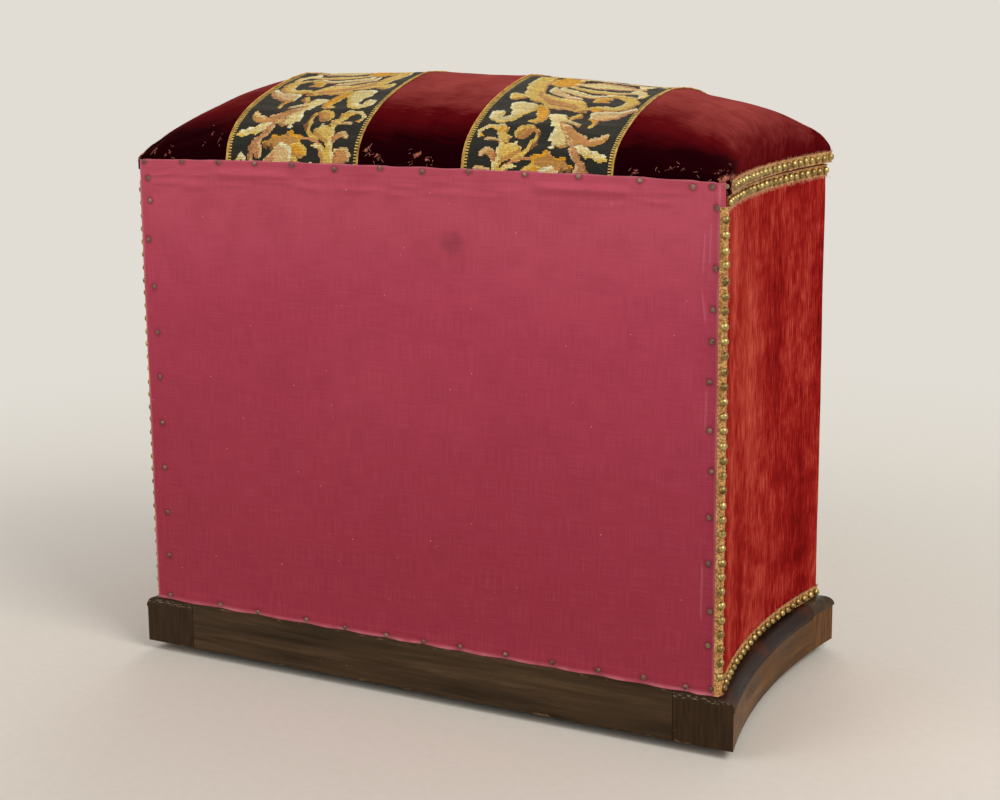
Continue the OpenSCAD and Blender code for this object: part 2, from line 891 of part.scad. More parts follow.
// Two triangles for each cell of a grid over the lid, where first is the index of its first
// point and turn is the number of cells left of the lid's middle. The cells are cut towards
// the crown, so that no triangle lies flat in a corner.
function grid_faces(cols, rows, first, turn, outside) = [
    for (i = [0 : cols - 2]) for (j = [0 : rows - 2])
        let (
            a = first + i * rows + j,
            b = a + 1,
            c = a + rows,
            d = c + 1,
            same = (i < turn) == (j < (rows - 1) / 2),
            pair = same ? [[a, b, d], [a, d, c]] : [[a, b, c], [b, d, c]]
        )
        for (face = pair) outside ? face : [face[0], face[2], face[1]]
];

// Two triangles between each pair of neighbours along two matching edges
function strip_faces(one, two) = [
    for (k = [0 : len(one) - 2])
        each [[one[k], one[k + 1], two[k + 1]], [one[k], two[k + 1], two[k]]]
];

// A cover of even thickness over a part of the lid, side -1 or 1 where it wraps a side's edge
module lid_cover(cols, side = 0) {
    turn = len([for (x = cols) if (x < 0) 1]);
    outer = cover_grid(cols, 0, side);
    inner = cover_grid(cols, cover_t, side);
    n = len(outer);
    m = len(outer[0]);
    k = n * m;
    front_edge = [for (i = [0 : n - 1]) i * m];
    back_edge = [for (i = [0 : n - 1]) i * m + m - 1];
    left_edge = [for (j = [0 : m - 1]) j];
    right_edge = [for (j = [0 : m - 1]) (n - 1) * m + j];
    polyhedron(
        points = concat(flat(outer), flat(inner)),
        faces = concat(
            grid_faces(n, m, 0, turn, true),
            grid_faces(n, m, k, turn, false),
            strip_faces(front_edge, [for (e = front_edge) e + k]),
            strip_faces([for (e = back_edge) e + k], back_edge),
            strip_faces([for (e = left_edge) e + k], left_edge),
            strip_faces(right_edge, [for (e = right_edge) e + k])
        )
    );
}

// Domed stuffing on the lid board, just inside the covers
module lid_stuffing() {
    inset = cover_t + fit;
    cols = concat(
        left_cols(strip_out),
        [for (i = [1 : strip_cols]) -strip_out + (strip_out - strip_in) * i / strip_cols],
        [for (i = [1 : middle_cols]) -strip_in + 2 * strip_in * i / middle_cols],
        [for (i = [1 : strip_cols]) strip_in + (strip_out - strip_in) * i / strip_cols],
        [for (i = [1 : outer_cols]) right_cols(strip_out)[i]]
    );
    grid = [
        for (x = cols) [
            for (j = [0 : crown_rows]) crown_point(x, row_share(j), inset)
        ]
    ];
    n = len(grid);
    m = crown_rows + 1;
    rim = concat(
        [for (i = [0 : n - 1]) i * m],
        [for (j = [1 : m - 1]) (n - 1) * m + j],
        [for (i = [n - 2 : -1 : 0]) i * m + m - 1],
        [for (j = [m - 2 : -1 : 1]) j]
    );
    color([0.62, 0.52, 0.38]) polyhedron(
        points = flat(grid),
        faces = concat(grid_faces(n, m, 0, (n - 1) / 2, true), [rim])
    );
}

module lid_velvet_left() {
    color([0.30, 0.05, 0.06]) lid_cover(left_cols(strip_out), -1);
}

module lid_velvet_centre() {
    color([0.30, 0.05, 0.06]) lid_cover(even_cols(-strip_in, strip_in, middle_cols));
}

module lid_velvet_right() {
    color([0.30, 0.05, 0.06]) lid_cover(right_cols(strip_out), 1);
}

module lid_needlework_left() {
    color([0.72, 0.58, 0.34]) lid_cover(even_cols(-strip_out, -strip_in, strip_cols));
}

module lid_needlework_right() {
    color([0.72, 0.58, 0.34]) lid_cover(even_cols(strip_in, strip_out, strip_cols));
}

// Share of the depth at which a cord's front end comes out from under the lid's braid
function cord_start(x) =
    let (
        low = lid_braid_z + braid_w + cord_d / 2 - crown_z,
        high = crown_rise(x, 0, 0)
    )
    -pow(1 - pow(low / high, crown_front[1]), 1 / crown_front[0]);

// A gold cord laid over the crown where two covers meet
module crown_cord(x) {
    r = cord_d / 2;
    path = concat(
        [crown_point(x, cord_start(x), 0)],
        [for (j = [1 : crown_rows]) crown_point(x, row_share(j), 0)]
    );
    n = len(path);
    rings = [
        for (j = [0 : n - 1])
            let (
                before = path[max(0, j - 1)],
                after = path[min(n - 1, j + 1)],
                along = (after - before) / norm(after - before),
                up = [0, -along[2], along[1]],
                middle = path[j] + up * (r + 2 * fit)
            )
            [
                for (k = [0 : cord_sides - 1])
                    let (a = 360 * (k + 0.5) / cord_sides)
                    middle + up * r * cos(a) + [r * sin(a), 0, 0]
            ]
    ];
    side_faces = [
        for (j = [0 : n - 2]) for (k = [0 : cord_sides - 1])
            let (
                a = j * cord_sides + k,
                b = j * cord_sides + (k + 1) % cord_sides,
                c = a + cord_sides,
                d = b + cord_sides
            )
            each [[a, b, d], [a, d, c]]
    ];
    polyhedron(
        points = flat(rings),
        faces = concat(
            side_faces,
            [[for (k = [cord_sides - 1 : -1 : 0]) k]],
            [[for (k = [0 : cord_sides - 1]) (n - 1) * cord_sides + k]]
        )
    );
}

module lid_edging() {
    color([0.80, 0.64, 0.30])
        for (x = [-strip_out, -strip_in, strip_in, strip_out]) crown_cord(x);
}

module lid_braid() {
    color([0.76, 0.60, 0.30]) raise(lid_braid_z, braid_w) intersection() {
        difference() {
            hollow_plan(lid_half_w, lid_front, lid_back, -2 * fit - braid_t);
            hollow_plan(lid_half_w, lid_front, lid_back, -2 * fit, over);
        }
        plan_box(
            -plinth_half_w, plinth_front, plinth_half_w, lid_back - lid_braid_start
        );
    }
}

module lid_nails() {
    color([0.70, 0.56, 0.28])
        nail_row(lid_half_w, lid_front, lid_back, lid_braid_z + braid_w / 2, lid_braid_start);
}

module lid_lining() {
    edge = lining_t + pad_gap;
    color([0.70, 0.62, 0.48]) raise(lid_z - pad_t, pad_t)
        plan_box(-wall_x + edge, wall_front + edge, wall_x - edge, wall_back - edge);
}

plinth_back_rail();
plinth_front_rail();
plinth_left_rail();
plinth_right_rail();
castor_blocks();
castor_plates();
floor_board();
post_back_left();
post_back_right();
post_front_left();
post_front_right();
top_rail_back();
top_rail_front();
top_rail_left();
top_rail_right();
panel_back();
panel_front();
panel_left();
panel_right();
lining_back();
lining_front();
lining_left();
lining_right();
side_velvet_left();
side_velvet_right();
front_velvet();
front_needlework_left();
front_needlework_right();
front_edging();
top_braid();
bottom_braid();
corner_braids();
body_nails();
back_cloth();
back_tacks();
hinge_base_leaves();
hinge_pins();
lid_board();
lid_stuffing();
lid_velvet_left();
lid_velvet_centre();
lid_velvet_right();
lid_needlework_left();
lid_needlework_right();
lid_edging();
lid_braid();
lid_nails();
lid_cloth_flap();
lid_flap_tacks();
lid_lining();
hinge_lid_leaves();
fork_at(0);  // castor_fork_back_left
fork_at(1);  // castor_fork_back_right
fork_at(2);  // castor_fork_front_left
fork_at(3);  // castor_fork_front_right
wheel_at(0);  // castor_wheel_back_left
wheel_at(1);  // castor_wheel_back_right
wheel_at(2);  // castor_wheel_front_left
wheel_at(3);  // castor_wheel_front_right
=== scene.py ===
"""Storage ottoman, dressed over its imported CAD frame.

Lengths are in millimetres in the frame's own axes (width along X, back towards +Y) and become metres
where a mesh is made. The names of sizes are those of the CAD source.
"""

import math

import bmesh
import bpy
import numpy as np
from mathutils import Matrix, Vector


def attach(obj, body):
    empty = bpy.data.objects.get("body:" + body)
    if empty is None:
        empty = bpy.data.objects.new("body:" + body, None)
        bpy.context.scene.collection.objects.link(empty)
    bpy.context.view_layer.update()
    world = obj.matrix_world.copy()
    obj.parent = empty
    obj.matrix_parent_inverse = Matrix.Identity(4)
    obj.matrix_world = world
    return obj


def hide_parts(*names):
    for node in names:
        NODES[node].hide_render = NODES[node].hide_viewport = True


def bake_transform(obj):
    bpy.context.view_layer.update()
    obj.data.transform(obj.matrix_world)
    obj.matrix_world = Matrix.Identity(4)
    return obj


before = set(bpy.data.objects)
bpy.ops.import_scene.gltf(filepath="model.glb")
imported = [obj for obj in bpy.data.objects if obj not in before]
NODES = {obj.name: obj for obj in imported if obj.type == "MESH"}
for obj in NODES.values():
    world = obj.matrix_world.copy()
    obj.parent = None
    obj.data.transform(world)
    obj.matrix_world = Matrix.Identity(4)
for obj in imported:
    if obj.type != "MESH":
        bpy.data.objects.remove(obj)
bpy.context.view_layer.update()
MM = 0.001

# Sizes of the CAD source
HALF_W = 300.0
FRONT_Y, BACK_Y = -140.1, 149.9
SIDE_HOLLOW = FRONT_HOLLOW = 16.0
BOX_Z, PART_Z, RIM_Z, LID_Z, CROWN_Z = 56.0, 493.0, 492.5, 493.5, 503.0
LID_HALF_W, LID_FRONT, LID_BACK = 303.0, -144.1, 149.8
FIT, COVER_T, CLOTH_T = 0.2, 2.0, 0.8
CLOTH_Y = BACK_Y + FIT
STRIP_IN, STRIP_OUT = 54.0, 198.0
SEAMS = (-STRIP_OUT, -STRIP_IN, STRIP_IN, STRIP_OUT)
CORD_R = 1.5
BRAID_W = 11.0
TOP_BRAID_Z, BOTTOM_BRAID_Z, LID_BRAID_Z = 486.2, 62.3, 500.5
LID_BRAID_START = 8.0
NAIL_PITCH, NAIL_END, NAIL_OUT = 13.0, 6.0, 1.75
FLAP_Z = 496.8
CROWN_H = 81.0
CROWN_LEFT, CROWN_RIGHT = (0.22, 8.0, 5.0), (0.034, 4.23, 3.88)
CROWN_BACK, CROWN_FRONT = (1.3, 2.3), (2.0, 2.79)
CROWN_TILT = 0.054
HINGE_X, LEAF_L, LEAF_W = 170.0, 64.0, 21.0
CASTOR_X, CASTOR_YS, PLATE_W, PLATE_Z = 220.5, (93.6, -72.6), 38.0, 33.5

# Sizes of the dressing alone
STITCH = 1.5  # one stitch of the needlework
STRIP_COLS = 96  # stitches across a strip
VELVET_STEP = 2.4  # width of a velvet cover's cells
RIM_RETURN = 1.7  # how far a cover's cut edge turns inwards
ROW_SHIFT = 0.55  # how far the box's top row of braid and nails is above its place in the CAD
TOP_ROW_Z, LID_ROW_Z = TOP_BRAID_Z + ROW_SHIFT, LID_BRAID_Z - 2 * ROW_SHIFT
FREE_LOW, FREE_HIGH = 69.0, 479.0  # heights between which the box's covers aren't held by nails
SEAM_REACH = 4.5  # how far to each side a seam draws its covers in
BRAID_BEND = 1.6  # how close to a corner the braids begin to bend
COLUMN_TOP = 484.0  # where the upright braids end, under the top braid
UNDER_CROWN = np.array([0.0, 0.0, 400.0])  # a point inside, which the lid's covers face away from
UPRIGHT = (0.0, 0.0, 1.0)


# ---------------------------------------------------------------- shapes in plan

def arc_r(chord, rise):
    """Radius of an arc with a chord and a rise at its middle."""
    return (chord * chord / 4 + rise * rise) / (2 * rise)


class Plan:
    """Plan of the box or of the lid: two hollow sides and a hollow front."""

    def __init__(self, half, front, back):
        self.half, self.front, self.back = half, front, back
        self.side_r = arc_r(back - front, SIDE_HOLLOW)
        self.front_r = arc_r(2 * half, FRONT_HOLLOW)
        self.side_centre = np.array([half - SIDE_HOLLOW + self.side_r, (front + back) / 2])
        self.front_centre = np.array([0.0, front + FRONT_HOLLOW - self.front_r])
        self.side_len = 2 * self.side_r * math.asin((back - front) / 2 / self.side_r)
        self.front_len = 2 * self.front_r * math.asin(half / self.front_r)

    def on_side(self, side, along, out):
        """Points on a hollow side, a length along it (towards the back) and a distance out of it."""
        a = np.asarray(along, float) / self.side_r
        r = self.side_r - out
        x, y = self.side_centre
        return np.stack([side * (x - r * np.cos(a)), y + r * np.sin(a)], -1)

    def side_normal(self, side, along):
        """Outward normals of a hollow side."""
        a = np.asarray(along, float) / self.side_r
        return np.stack([side * np.cos(a), -np.sin(a)], -1)

    def on_front(self, along, out):
        """Points on the hollow front, a length along it (towards +X) and a distance out of it."""
        b = np.asarray(along, float) / self.front_r
        r = self.front_r - out
        return np.stack([r * np.sin(b), self.front_centre[1] + r * np.cos(b)], -1)

    def front_normal(self, along):
        """Outward normals of the hollow front."""
        b = np.asarray(along, float) / self.front_r
        return np.stack([-np.sin(b), -np.cos(b)], -1)

    def corner(self, side, out):
        """Where a side's arc and the front's arc cross, both moved out."""
        c0 = self.side_centre * [side, 1.0]
        r0, r1 = self.side_r - out, self.front_r - out
        gap = self.front_centre - c0
        dist = float(np.hypot(*gap))
        near = (r0 * r0 - r1 * r1 + dist * dist) / (2 * dist)
        off = math.sqrt(r0 * r0 - near * near) * np.array([-gap[1], gap[0]]) / dist
        base = c0 + near * gap / dist
        goal = np.array([side * self.half, self.front])
        return min((base + off, base - off), key=lambda p: np.hypot(*(p - goal)))

    def round_path(self, out, back_gap, step, corner=2.4):
        """Path round the left side, the front and the right side, with its outward normals and lengths."""
        side_places = np.linspace(self.side_len / 2 - back_gap, corner - self.side_len / 2, 400)
        wide = self.front_len / 2 - corner
        left = self.on_side(-1, side_places, out)
        front = self.on_front(np.linspace(-wide, wide, 800), out)
        bend = np.linspace(0, 1, 12)[1:-1, None]

        def turn(a, c, b):
            """A bend from a to b that a corner c draws out."""
            return (1 - bend) ** 2 * a + 2 * bend * (1 - bend) * c + bend ** 2 * b

        right = left[::-1] * [-1, 1]
        near = turn(left[-1], self.corner(-1, out), front[0])
        far = turn(front[-1], self.corner(1, out), right[0])
        raw = np.concatenate([left, near, front, far, right])
        length = np.concatenate([[0], np.cumsum(np.hypot(*np.diff(raw, axis=0).T))])
        count = max(2, int(round(length[-1] / step)))
        even = np.linspace(0, length[-1], count + 1)
        path = np.stack([np.interp(even, length, raw[:, k]) for k in (0, 1)], -1)
        run = np.gradient(path, axis=0)
        run /= np.hypot(run[:, 0], run[:, 1])[:, None]
        return path, np.stack([run[:, 1], -run[:, 0]], -1), even


BOX_PLAN = Plan(HALF_W, FRONT_Y, BACK_Y)
LID_PLAN = Plan(LID_HALF_W, LID_FRONT, LID_BACK)


# ---------------------------------------------------------------- the lid's crown

def lid_half(t):
    """Half the width of the lid at a share of its depth, -1 at the front to 1 at the back."""
    return LID_HALF_W - SIDE_HOLLOW * (1 - t * t)


def lid_x(x, t):
    """Where a column of the lid's covers is at a share of the depth: beyond the strips they close up."""
    outer = STRIP_OUT + (np.abs(x) - STRIP_OUT) / (LID_HALF_W - STRIP_OUT) * (lid_half(t) - STRIP_OUT)
    return np.where(np.abs(x) <= STRIP_OUT, x, np.sign(x) * outer)


def lid_y(x, t):
    """Where a share of the lid's depth is on a column, behind the hollow front."""
    front = LID_FRONT + FRONT_HOLLOW * (1 - (x / LID_HALF_W) ** 2)
    return (LID_BACK + front) / 2 + t * (LID_BACK - front) / 2


def crown_rise(x, t, inset=0.0):
    """Height of the dome over its foot, by the formula of the CAD source."""
    u = np.where(np.abs(x) >= LID_HALF_W, 1.0, np.minimum(1, np.abs(lid_x(x, t)) / lid_half(t)))
    fall, power, root = (np.where(x < 0, CROWN_LEFT[k], CROWN_RIGHT[k]) for k in range(3))
    along, along_root = (np.where(t < 0, CROWN_FRONT[k], CROWN_BACK[k]) for k in range(2))
    return (
        (CROWN_H - inset)
        * (1 + np.sign(x) * CROWN_TILT * u - fall * u * u)
        * np.maximum(0, 1 - u ** power) ** (1 / root)
        * np.maximum(0, 1 - np.abs(t) ** along) ** (1 / along_root)
    )


def crown_point(x, t, inset=0.0):
    """Points on the dome over a column's place across and a share of the depth."""
    x, t = np.broadcast_arrays(np.asarray(x, float), np.asarray(t, float))
    return np.stack([lid_x(x, t), lid_y(x, t), CROWN_Z + crown_rise(x, t, inset)], -1)


def lengths(points):
    """Length along a row of points, from its start."""
    return np.concatenate([[0], np.cumsum(np.linalg.norm(np.diff(points, axis=0), axis=1))])


# ---------------------------------------------------------------- numbers and meshes

NOISE_CELLS = 257  # the noise repeats after so many bumps, each way
NOISE_START = 900  # keeps the places in the noise's table positive


def soft_noise(x, y, size, seed):
    """Smooth noise from -1 to 1, with bumps about size wide."""
    table = np.random.default_rng(seed).uniform(-1, 1, (NOISE_CELLS, NOISE_CELLS))
    gx, gy = (np.asarray(v, float) / size + NOISE_START for v in (x, y))
    ix, iy = np.floor(gx).astype(int), np.floor(gy).astype(int)
    fx, fy = gx - ix, gy - iy
    fx, fy = fx * fx * (3 - 2 * fx), fy * fy * (3 - 2 * fy)

    def at(a, b):
        return table[(ix + a) % NOISE_CELLS, (iy + b) % NOISE_CELLS]

    return (at(0, 0) * (1 - fx) + at(1, 0) * fx) * (1 - fy) + (at(0, 1) * (1 - fx) + at(1, 1) * fx) * fy


def smooth_step(value, low, high):
    """0 below low and 1 above high, with a smooth rise between them. It falls where high is under low."""
    share = np.clip((np.asarray(value, float) - low) / (high - low), 0, 1)
    return share * share * (3 - 2 * share)


def bell(value, middle, reach):
    """1 at a middle value, falling to 0 on both sides of it."""
    return np.exp(-(((value - middle) / reach) ** 2))


def fade(distance, reach):
    """1 at no distance, falling to 0 further off."""
    return np.exp(-distance / reach)


def grid_quads(n, m, first=0):
    """Quads of an n by m grid of points, by their indices from first on."""
    a = first + (np.arange(n - 1)[:, None] * m + np.arange(m - 1)[None, :]).reshape(-1)
    return np.stack([a, a + 1, a + m + 1, a + m], -1)


def grid_normals(grid):
    """Unit normals of a grid of points, one for each."""
    normal = np.cross(np.gradient(grid, axis=0), np.gradient(grid, axis=1))
    return normal / np.maximum(np.linalg.norm(normal, axis=-1, keepdims=True), 1e-9)


def crown_normals(grid):
    """Unit normals of a grid on the lid, turned outwards."""
    normals = grid_normals(grid)
    normals[(normals * (grid - UNDER_CROWN)).sum(-1) < 0] *= -1
    return normals


def edge_loop(n, m):
    """Indices round the border of an n by m grid."""
    return np.concatenate([
        np.arange(n) * m,
        (n - 1) * m + np.arange(1, m),
        (np.arange(n - 2, -1, -1)) * m + m - 1,
        np.arange(m - 2, 0, -1),
    ])


def loop_faces(one, two):
    """Quads between two closed loops of indices."""
    return np.stack([one, np.roll(one, -1), np.roll(two, -1), two], -1)


class Parts:
    """Points and faces gathered for one mesh."""

    def __init__(self):
        self.points, self.faces, self.count = [], [], 0

    def add(self, points, *face_sets):
        """Adds points, and faces that count them from 0."""
        points = np.asarray(points, float).reshape(-1, 3)
        for faces in face_sets:
            self.faces.extend((np.asarray(faces) + self.count).tolist())
        self.points.append(points)
        self.count += len(points)

    def mesh(self, name, weld=0.0):
        return build_mesh(name, np.concatenate(self.points), self.faces, weld=weld)


def build_mesh(name, points, faces, uv=None, weld=0.0, closed=True):
    """Mesh from points in mm and faces, with optional UVs in metres for each point."""
    mesh = bpy.data.meshes.new(name)
    mesh.from_pydata((np.asarray(points) * MM).tolist(), [], [list(f) for f in faces])
    if uv is not None:
        layer = mesh.uv_layers.new(name="cloth")
        index = np.empty(len(mesh.loops), np.int32)
        mesh.loops.foreach_get("vertex_index", index)
        layer.data.foreach_set("uv", (np.asarray(uv, np.float32)[index] * MM).ravel())
    mend(mesh, weld, closed)
    return mesh


def mend(mesh, weld, closed=True):
    """Joins points that are closer than weld in mm, and turns the faces of a closed mesh outwards."""
    work = bmesh.new()
    work.from_mesh(mesh)
    if weld:
        bmesh.ops.remove_doubles(work, verts=work.verts, dist=weld * MM)
    if closed:
        bmesh.ops.recalc_face_normals(work, faces=work.faces)
    work.to_mesh(mesh)
    work.free()


def two_faced(name, one, two, uv=None, weld=0.0):
    """A thin closed cloth from the grids of its two faces."""
    n, m = one.shape[:2]
    loop = edge_loop(n, m)
    faces = np.concatenate([grid_quads(n, m), grid_quads(n, m, n * m), loop_faces(loop, loop + n * m)])
    points = np.concatenate([one.reshape(-1, 3), two.reshape(-1, 3)])
    uv = None if uv is None else np.concatenate([uv.reshape(-1, 2)] * 2)
    return build_mesh(name, points, faces.tolist(), uv, weld)


def set_piece(mesh, finish, body, *nodes, slot=None, sharp=50):
    """Makes a piece of a mesh, with its finish, its body and the CAD nodes that it stands for."""
    mesh.polygons.foreach_set("use_smooth", [True] * len(mesh.polygons))
    mesh.set_sharp_from_angle(angle=math.radians(sharp))
    piece = bpy.data.objects.new(mesh.name, mesh)
    bpy.context.scene.collection.objects.link(piece)
    mesh.materials.append(FINISHES[finish])
    if body:
        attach(piece, body)
    if nodes:
        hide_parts(*nodes)
    return piece


def paint_points(mesh, name, values):
    """Stores one number for each point, for a material to read."""
    layer = mesh.attributes.new(name, "FLOAT", "POINT")
    layer.data.foreach_set("value", np.asarray(values, np.float32).ravel())


def tube(centre, side, up, radius, sides):
    """Points and faces of a closed tube along a row of points."""
    centre = np.asarray(centre, float)
    n = len(centre)
    radius = np.broadcast_to(np.asarray(radius, float), (n,))
    angle = 2 * math.pi * (np.arange(sides) + 0.5) / sides
    ring = np.cos(angle)[None, :, None] * np.broadcast_to(up, (n, 3))[:, None, :]
    ring = ring + np.sin(angle)[None, :, None] * np.broadcast_to(side, (n, 3))[:, None, :]
    points = centre[:, None, :] + radius[:, None, None] * ring
    k = np.arange(sides)
    a = (np.arange(n - 1)[:, None] * sides + k).reshape(-1)
    b = (np.arange(n - 1)[:, None] * sides + (k + 1) % sides).reshape(-1)
    quads = np.stack([a, b, b + sides, a + sides], -1)
    return points.reshape(-1, 3), quads, [k[::-1].tolist()], [((n - 1) * sides + k).tolist()]


# ---------------------------------------------------------------- finishes

def rgb(red, green, blue):
    """A colour from 0 to 255 as the eye sees it, made linear."""
    def one(c):
        c /= 255
        return c / 12.92 if c <= 0.04045 else ((c + 0.055) / 1.055) ** 2.4

    return (one(red), one(green), one(blue), 1.0)


class Nodes:
    """A tree of shader nodes built of short calls, each of which gives back the output that it made."""

    def __init__(self, tree):
        self.tree = tree
        tree.nodes.clear()

    def feed(self, socket, value):
        """Links an output to a socket, or sets the socket to a number or colour."""
        if isinstance(value, bpy.types.NodeSocket):
            self.tree.links.new(value, socket)
        else:
            socket.default_value = value

    def add(self, kind, feeds=(), **settings):
        """A node of a kind, with its settings and what feeds its sockets."""
        node = self.tree.nodes.new("ShaderNode" + kind)
        for key, value in settings.items():
            setattr(node, key, value)
        for key, value in dict(feeds).items():
            self.feed(node.inputs[key], value)
        return node

    def calc(self, operation, a, b=0.5):
        return self.add("Math", {0: a, 1: b}, operation=operation).outputs[0]

    def times(self, a, b):
        return self.calc("MULTIPLY", a, b)

    def plus(self, a, b):
        return self.calc("ADD", a, b)

    def in_view(self):
        """1 for rays that show the thing itself, also mirrored or through glass, and 0 for its light."""
        ray = self.add("LightPath").outputs
        seen = self.calc("MAXIMUM", ray["Is Camera Ray"], ray["Is Glossy Ray"])
        return self.calc("MAXIMUM", seen, ray["Is Transmission Ray"])


class Finish(Nodes):
    """A material: its shader and what feeds it."""

    def __init__(self, name, **fixed):
        self.material = bpy.data.materials.new(name)
        self.material.use_nodes = True
        super().__init__(self.material.node_tree)
        self.shader = self.add("BsdfPrincipled")
        self.end = self.add("OutputMaterial", {"Surface": self.shader.outputs["BSDF"]})
        for socket, value in fixed.items():
            self.shader.inputs[socket.replace("_", " ")].default_value = value

    def place(self, scale=(1, 1, 1), use="Object", turn=0.0):
        """Coordinates in metres, turned about Z and then times a scale for each axis."""
        spot = self.add("TexCoord").outputs[use]
        if turn:
            spot = self.add("Mapping", {"Vector": spot, "Rotation": (0, 0, turn)}).outputs["Vector"]
        return self.add("Mapping", {"Vector": spot, "Scale": scale}).outputs["Vector"]

    def on_cloth(self, scale=(1, 1, 1), turn=0.0):
        """Coordinates in metres on the flat cloth."""
        return self.place(scale, "UV", turn)

    def noise(self, vector, scale=1.0, detail=3.0, rough=0.5, twist=0.0):
        """Fractal noise. Its scale can also be in the coordinates, different for each axis."""
        feeds = {"Vector": vector, "Scale": scale, "Detail": detail, "Roughness": rough, "Distortion": twist}
        return self.add("TexNoise", feeds).outputs[0]

    def cells(self, vector, scale):
        """Distance to the nearest of many scattered points."""
        return self.add("TexVoronoi", {"Vector": vector, "Scale": scale}).outputs["Distance"]

    def axis(self, vector, name):
        return self.add("SeparateXYZ", {0: vector}).outputs[name]

    def painted(self, name):
        """A number that the mesh carries for each of its points."""
        return self.add("Attribute", attribute_name=name).outputs["Fac"]

    def level(self, value, low, high, out_low=0.0, out_high=1.0):
        """A smooth step between two values."""
        feeds = {"Value": value, "From Min": low, "From Max": high, "To Min": out_low, "To Max": out_high}
        return self.add("MapRange", feeds, interpolation_type="SMOOTHSTEP").outputs[0]

    def band(self, value, low, full, full_end, end):
        """1 where a value is between the middle two of four limits, and 0 outside the outer two."""
        return self.times(self.level(value, low, full), self.level(value, end, full_end))

    def mix(self, share, a, b, how="MIX"):
        return self.add("Mix", {0: share, 6: a, 7: b}, data_type="RGBA", blend_type=how).outputs[2]

    def tint(self, colour, value, low, high, share, other):
        """A colour with up to a share of another, as a value goes from low to high."""
        return self.mix(self.level(value, low, high, 0.0, share), colour, other)

    def ramp(self, value, *stops):
        """A colour that changes with a value: each stop is a value and its colour."""
        node = self.add("ValToRGB", {"Fac": value})
        while len(node.color_ramp.elements) < len(stops):
            node.color_ramp.elements.new(0.5)
        for element, (place, colour) in zip(node.color_ramp.elements, stops):
            element.position, element.color = place, colour
        return node.outputs["Color"]

    def bump(self, height, strength, depth_mm, after=None):
        """A normal for relief of a depth in mm, on top of another bump."""
        feeds = {"Height": height, "Strength": strength, "Distance": depth_mm * MM}
        if after is not None:
            feeds["Normal"] = after
        return self.add("Bump", feeds).outputs["Normal"]

    def done(self, colour=None, rough=None, normal=None):
        """Feeds the shader and gives back the material."""
        for socket, value in (("Base Color", colour), ("Roughness", rough), ("Normal", normal)):
            if value is not None:
                self.feed(self.shader.inputs[socket], value)
        return self.material


def velvet(name, deep, body, bloom, thread, sheen, sheen_tint, streak, band, shares, turn=0.0, crush=16.0):
    """Cut velvet: dark where its pile stands, paler in the streaks where it leans and where it is rubbed.

    The mesh carries two painted numbers: shade, which is painted light and shade that makes the pile
    paler where light falls on it and darker where it is in shade, and wear. The shares say how much
    streaks, bands, crushed places and the painted light and shade count.
    """
    f = Finish(name, Sheen_Weight=sheen, Sheen_Roughness=0.42, Sheen_Tint=sheen_tint, Specular_IOR_Level=0.0)
    cloth = f.on_cloth()
    streaks = f.noise(f.on_cloth(streak, turn), detail=5, rough=0.65)
    bands = f.noise(f.on_cloth(band, turn), detail=3, twist=0.4)
    crushed = f.noise(cloth, crush, detail=5, rough=0.6, twist=0.5)
    pile = f.noise(cloth, 2100, detail=2)
    lean = f.plus(f.times(streaks, shares[0]), f.times(bands, shares[1]))
    lean = f.plus(lean, f.times(crushed, shares[2]))
    lean = f.plus(lean, 0.5 * (1 - sum(shares)))
    # the mesh's shade number: painted light and shade
    lean = f.plus(lean, f.times(f.painted("shade"), shares[3]))
    colour = f.ramp(lean, (0.36, deep), (0.5, body), (0.66, bloom))
    colour = f.tint(colour, pile, 0.3, 0.7, 0.5, f.mix(0.5, colour, deep))
    rub = f.times(f.noise(cloth, 260, detail=4, rough=0.7, twist=1.2), 0.75)
    rub = f.plus(rub, f.times(f.painted("wear"), 0.36))
    rub = f.level(rub, 0.62, 0.7)
    colour = f.mix(f.times(rub, 0.8), colour, thread)
    soft = f.bump(lean, 0.35, 0.8)
    fine = f.bump(pile, 0.6, 0.15, soft)
    return f.done(colour, f.level(lean, 0.3, 0.7, 0.9, 0.72), fine)


def needlework():
    """Wool stitches on canvas: a cell of colour each, raised and parted by its neighbours, with painted shade
    in the grooves between them.
    """
    f = Finish("needlework", Sheen_Weight=0.06, Sheen_Roughness=0.5, Specular_IOR_Level=0.15, Roughness=0.85)
    f.shader.inputs["Sheen Tint"].default_value = rgb(240, 225, 200)
    grid = f.on_cloth((1 / (STITCH * MM), 1 / (STITCH * MM), 1))
    drawn = f.add("VertexColor", layer_name="stitches").outputs["Color"]
    ribs = f.calc("ABSOLUTE", f.calc("SINE", f.times(f.axis(grid, "Y"), math.pi)))
    files = f.calc("ABSOLUTE", f.calc("SINE", f.times(f.axis(grid, "X"), math.pi)))
    raised = f.times(f.calc("POWER", ribs, 0.6), f.calc("POWER", files, 0.4))
    wool = f.noise(f.on_cloth((3000, 1200, 1)), detail=2)
    # Painted shade: darker in the grooves between the rows and files of stitches
    shade = f.level(f.plus(f.times(ribs, 0.75), f.times(files, 0.25)), 0.0, 0.75, 0.3, 1.0)
    dark = f.mix(1.0, drawn, rgb(120, 98, 72), "MULTIPLY")
    colour = f.mix(shade, dark, drawn)
    colour = f.tint(colour, wool, 0.3, 0.8, 0.22, dark)
    soil = f.level(f.noise(f.on_cloth(), 22, detail=4), 0.5, 0.75, 0.0, 0.16)
    colour = f.mix(soil, colour, rgb(92, 70, 48))
    return f.done(colour, normal=f.bump(raised, 0.75, 0.45, f.bump(wool, 0.3, 0.2)))


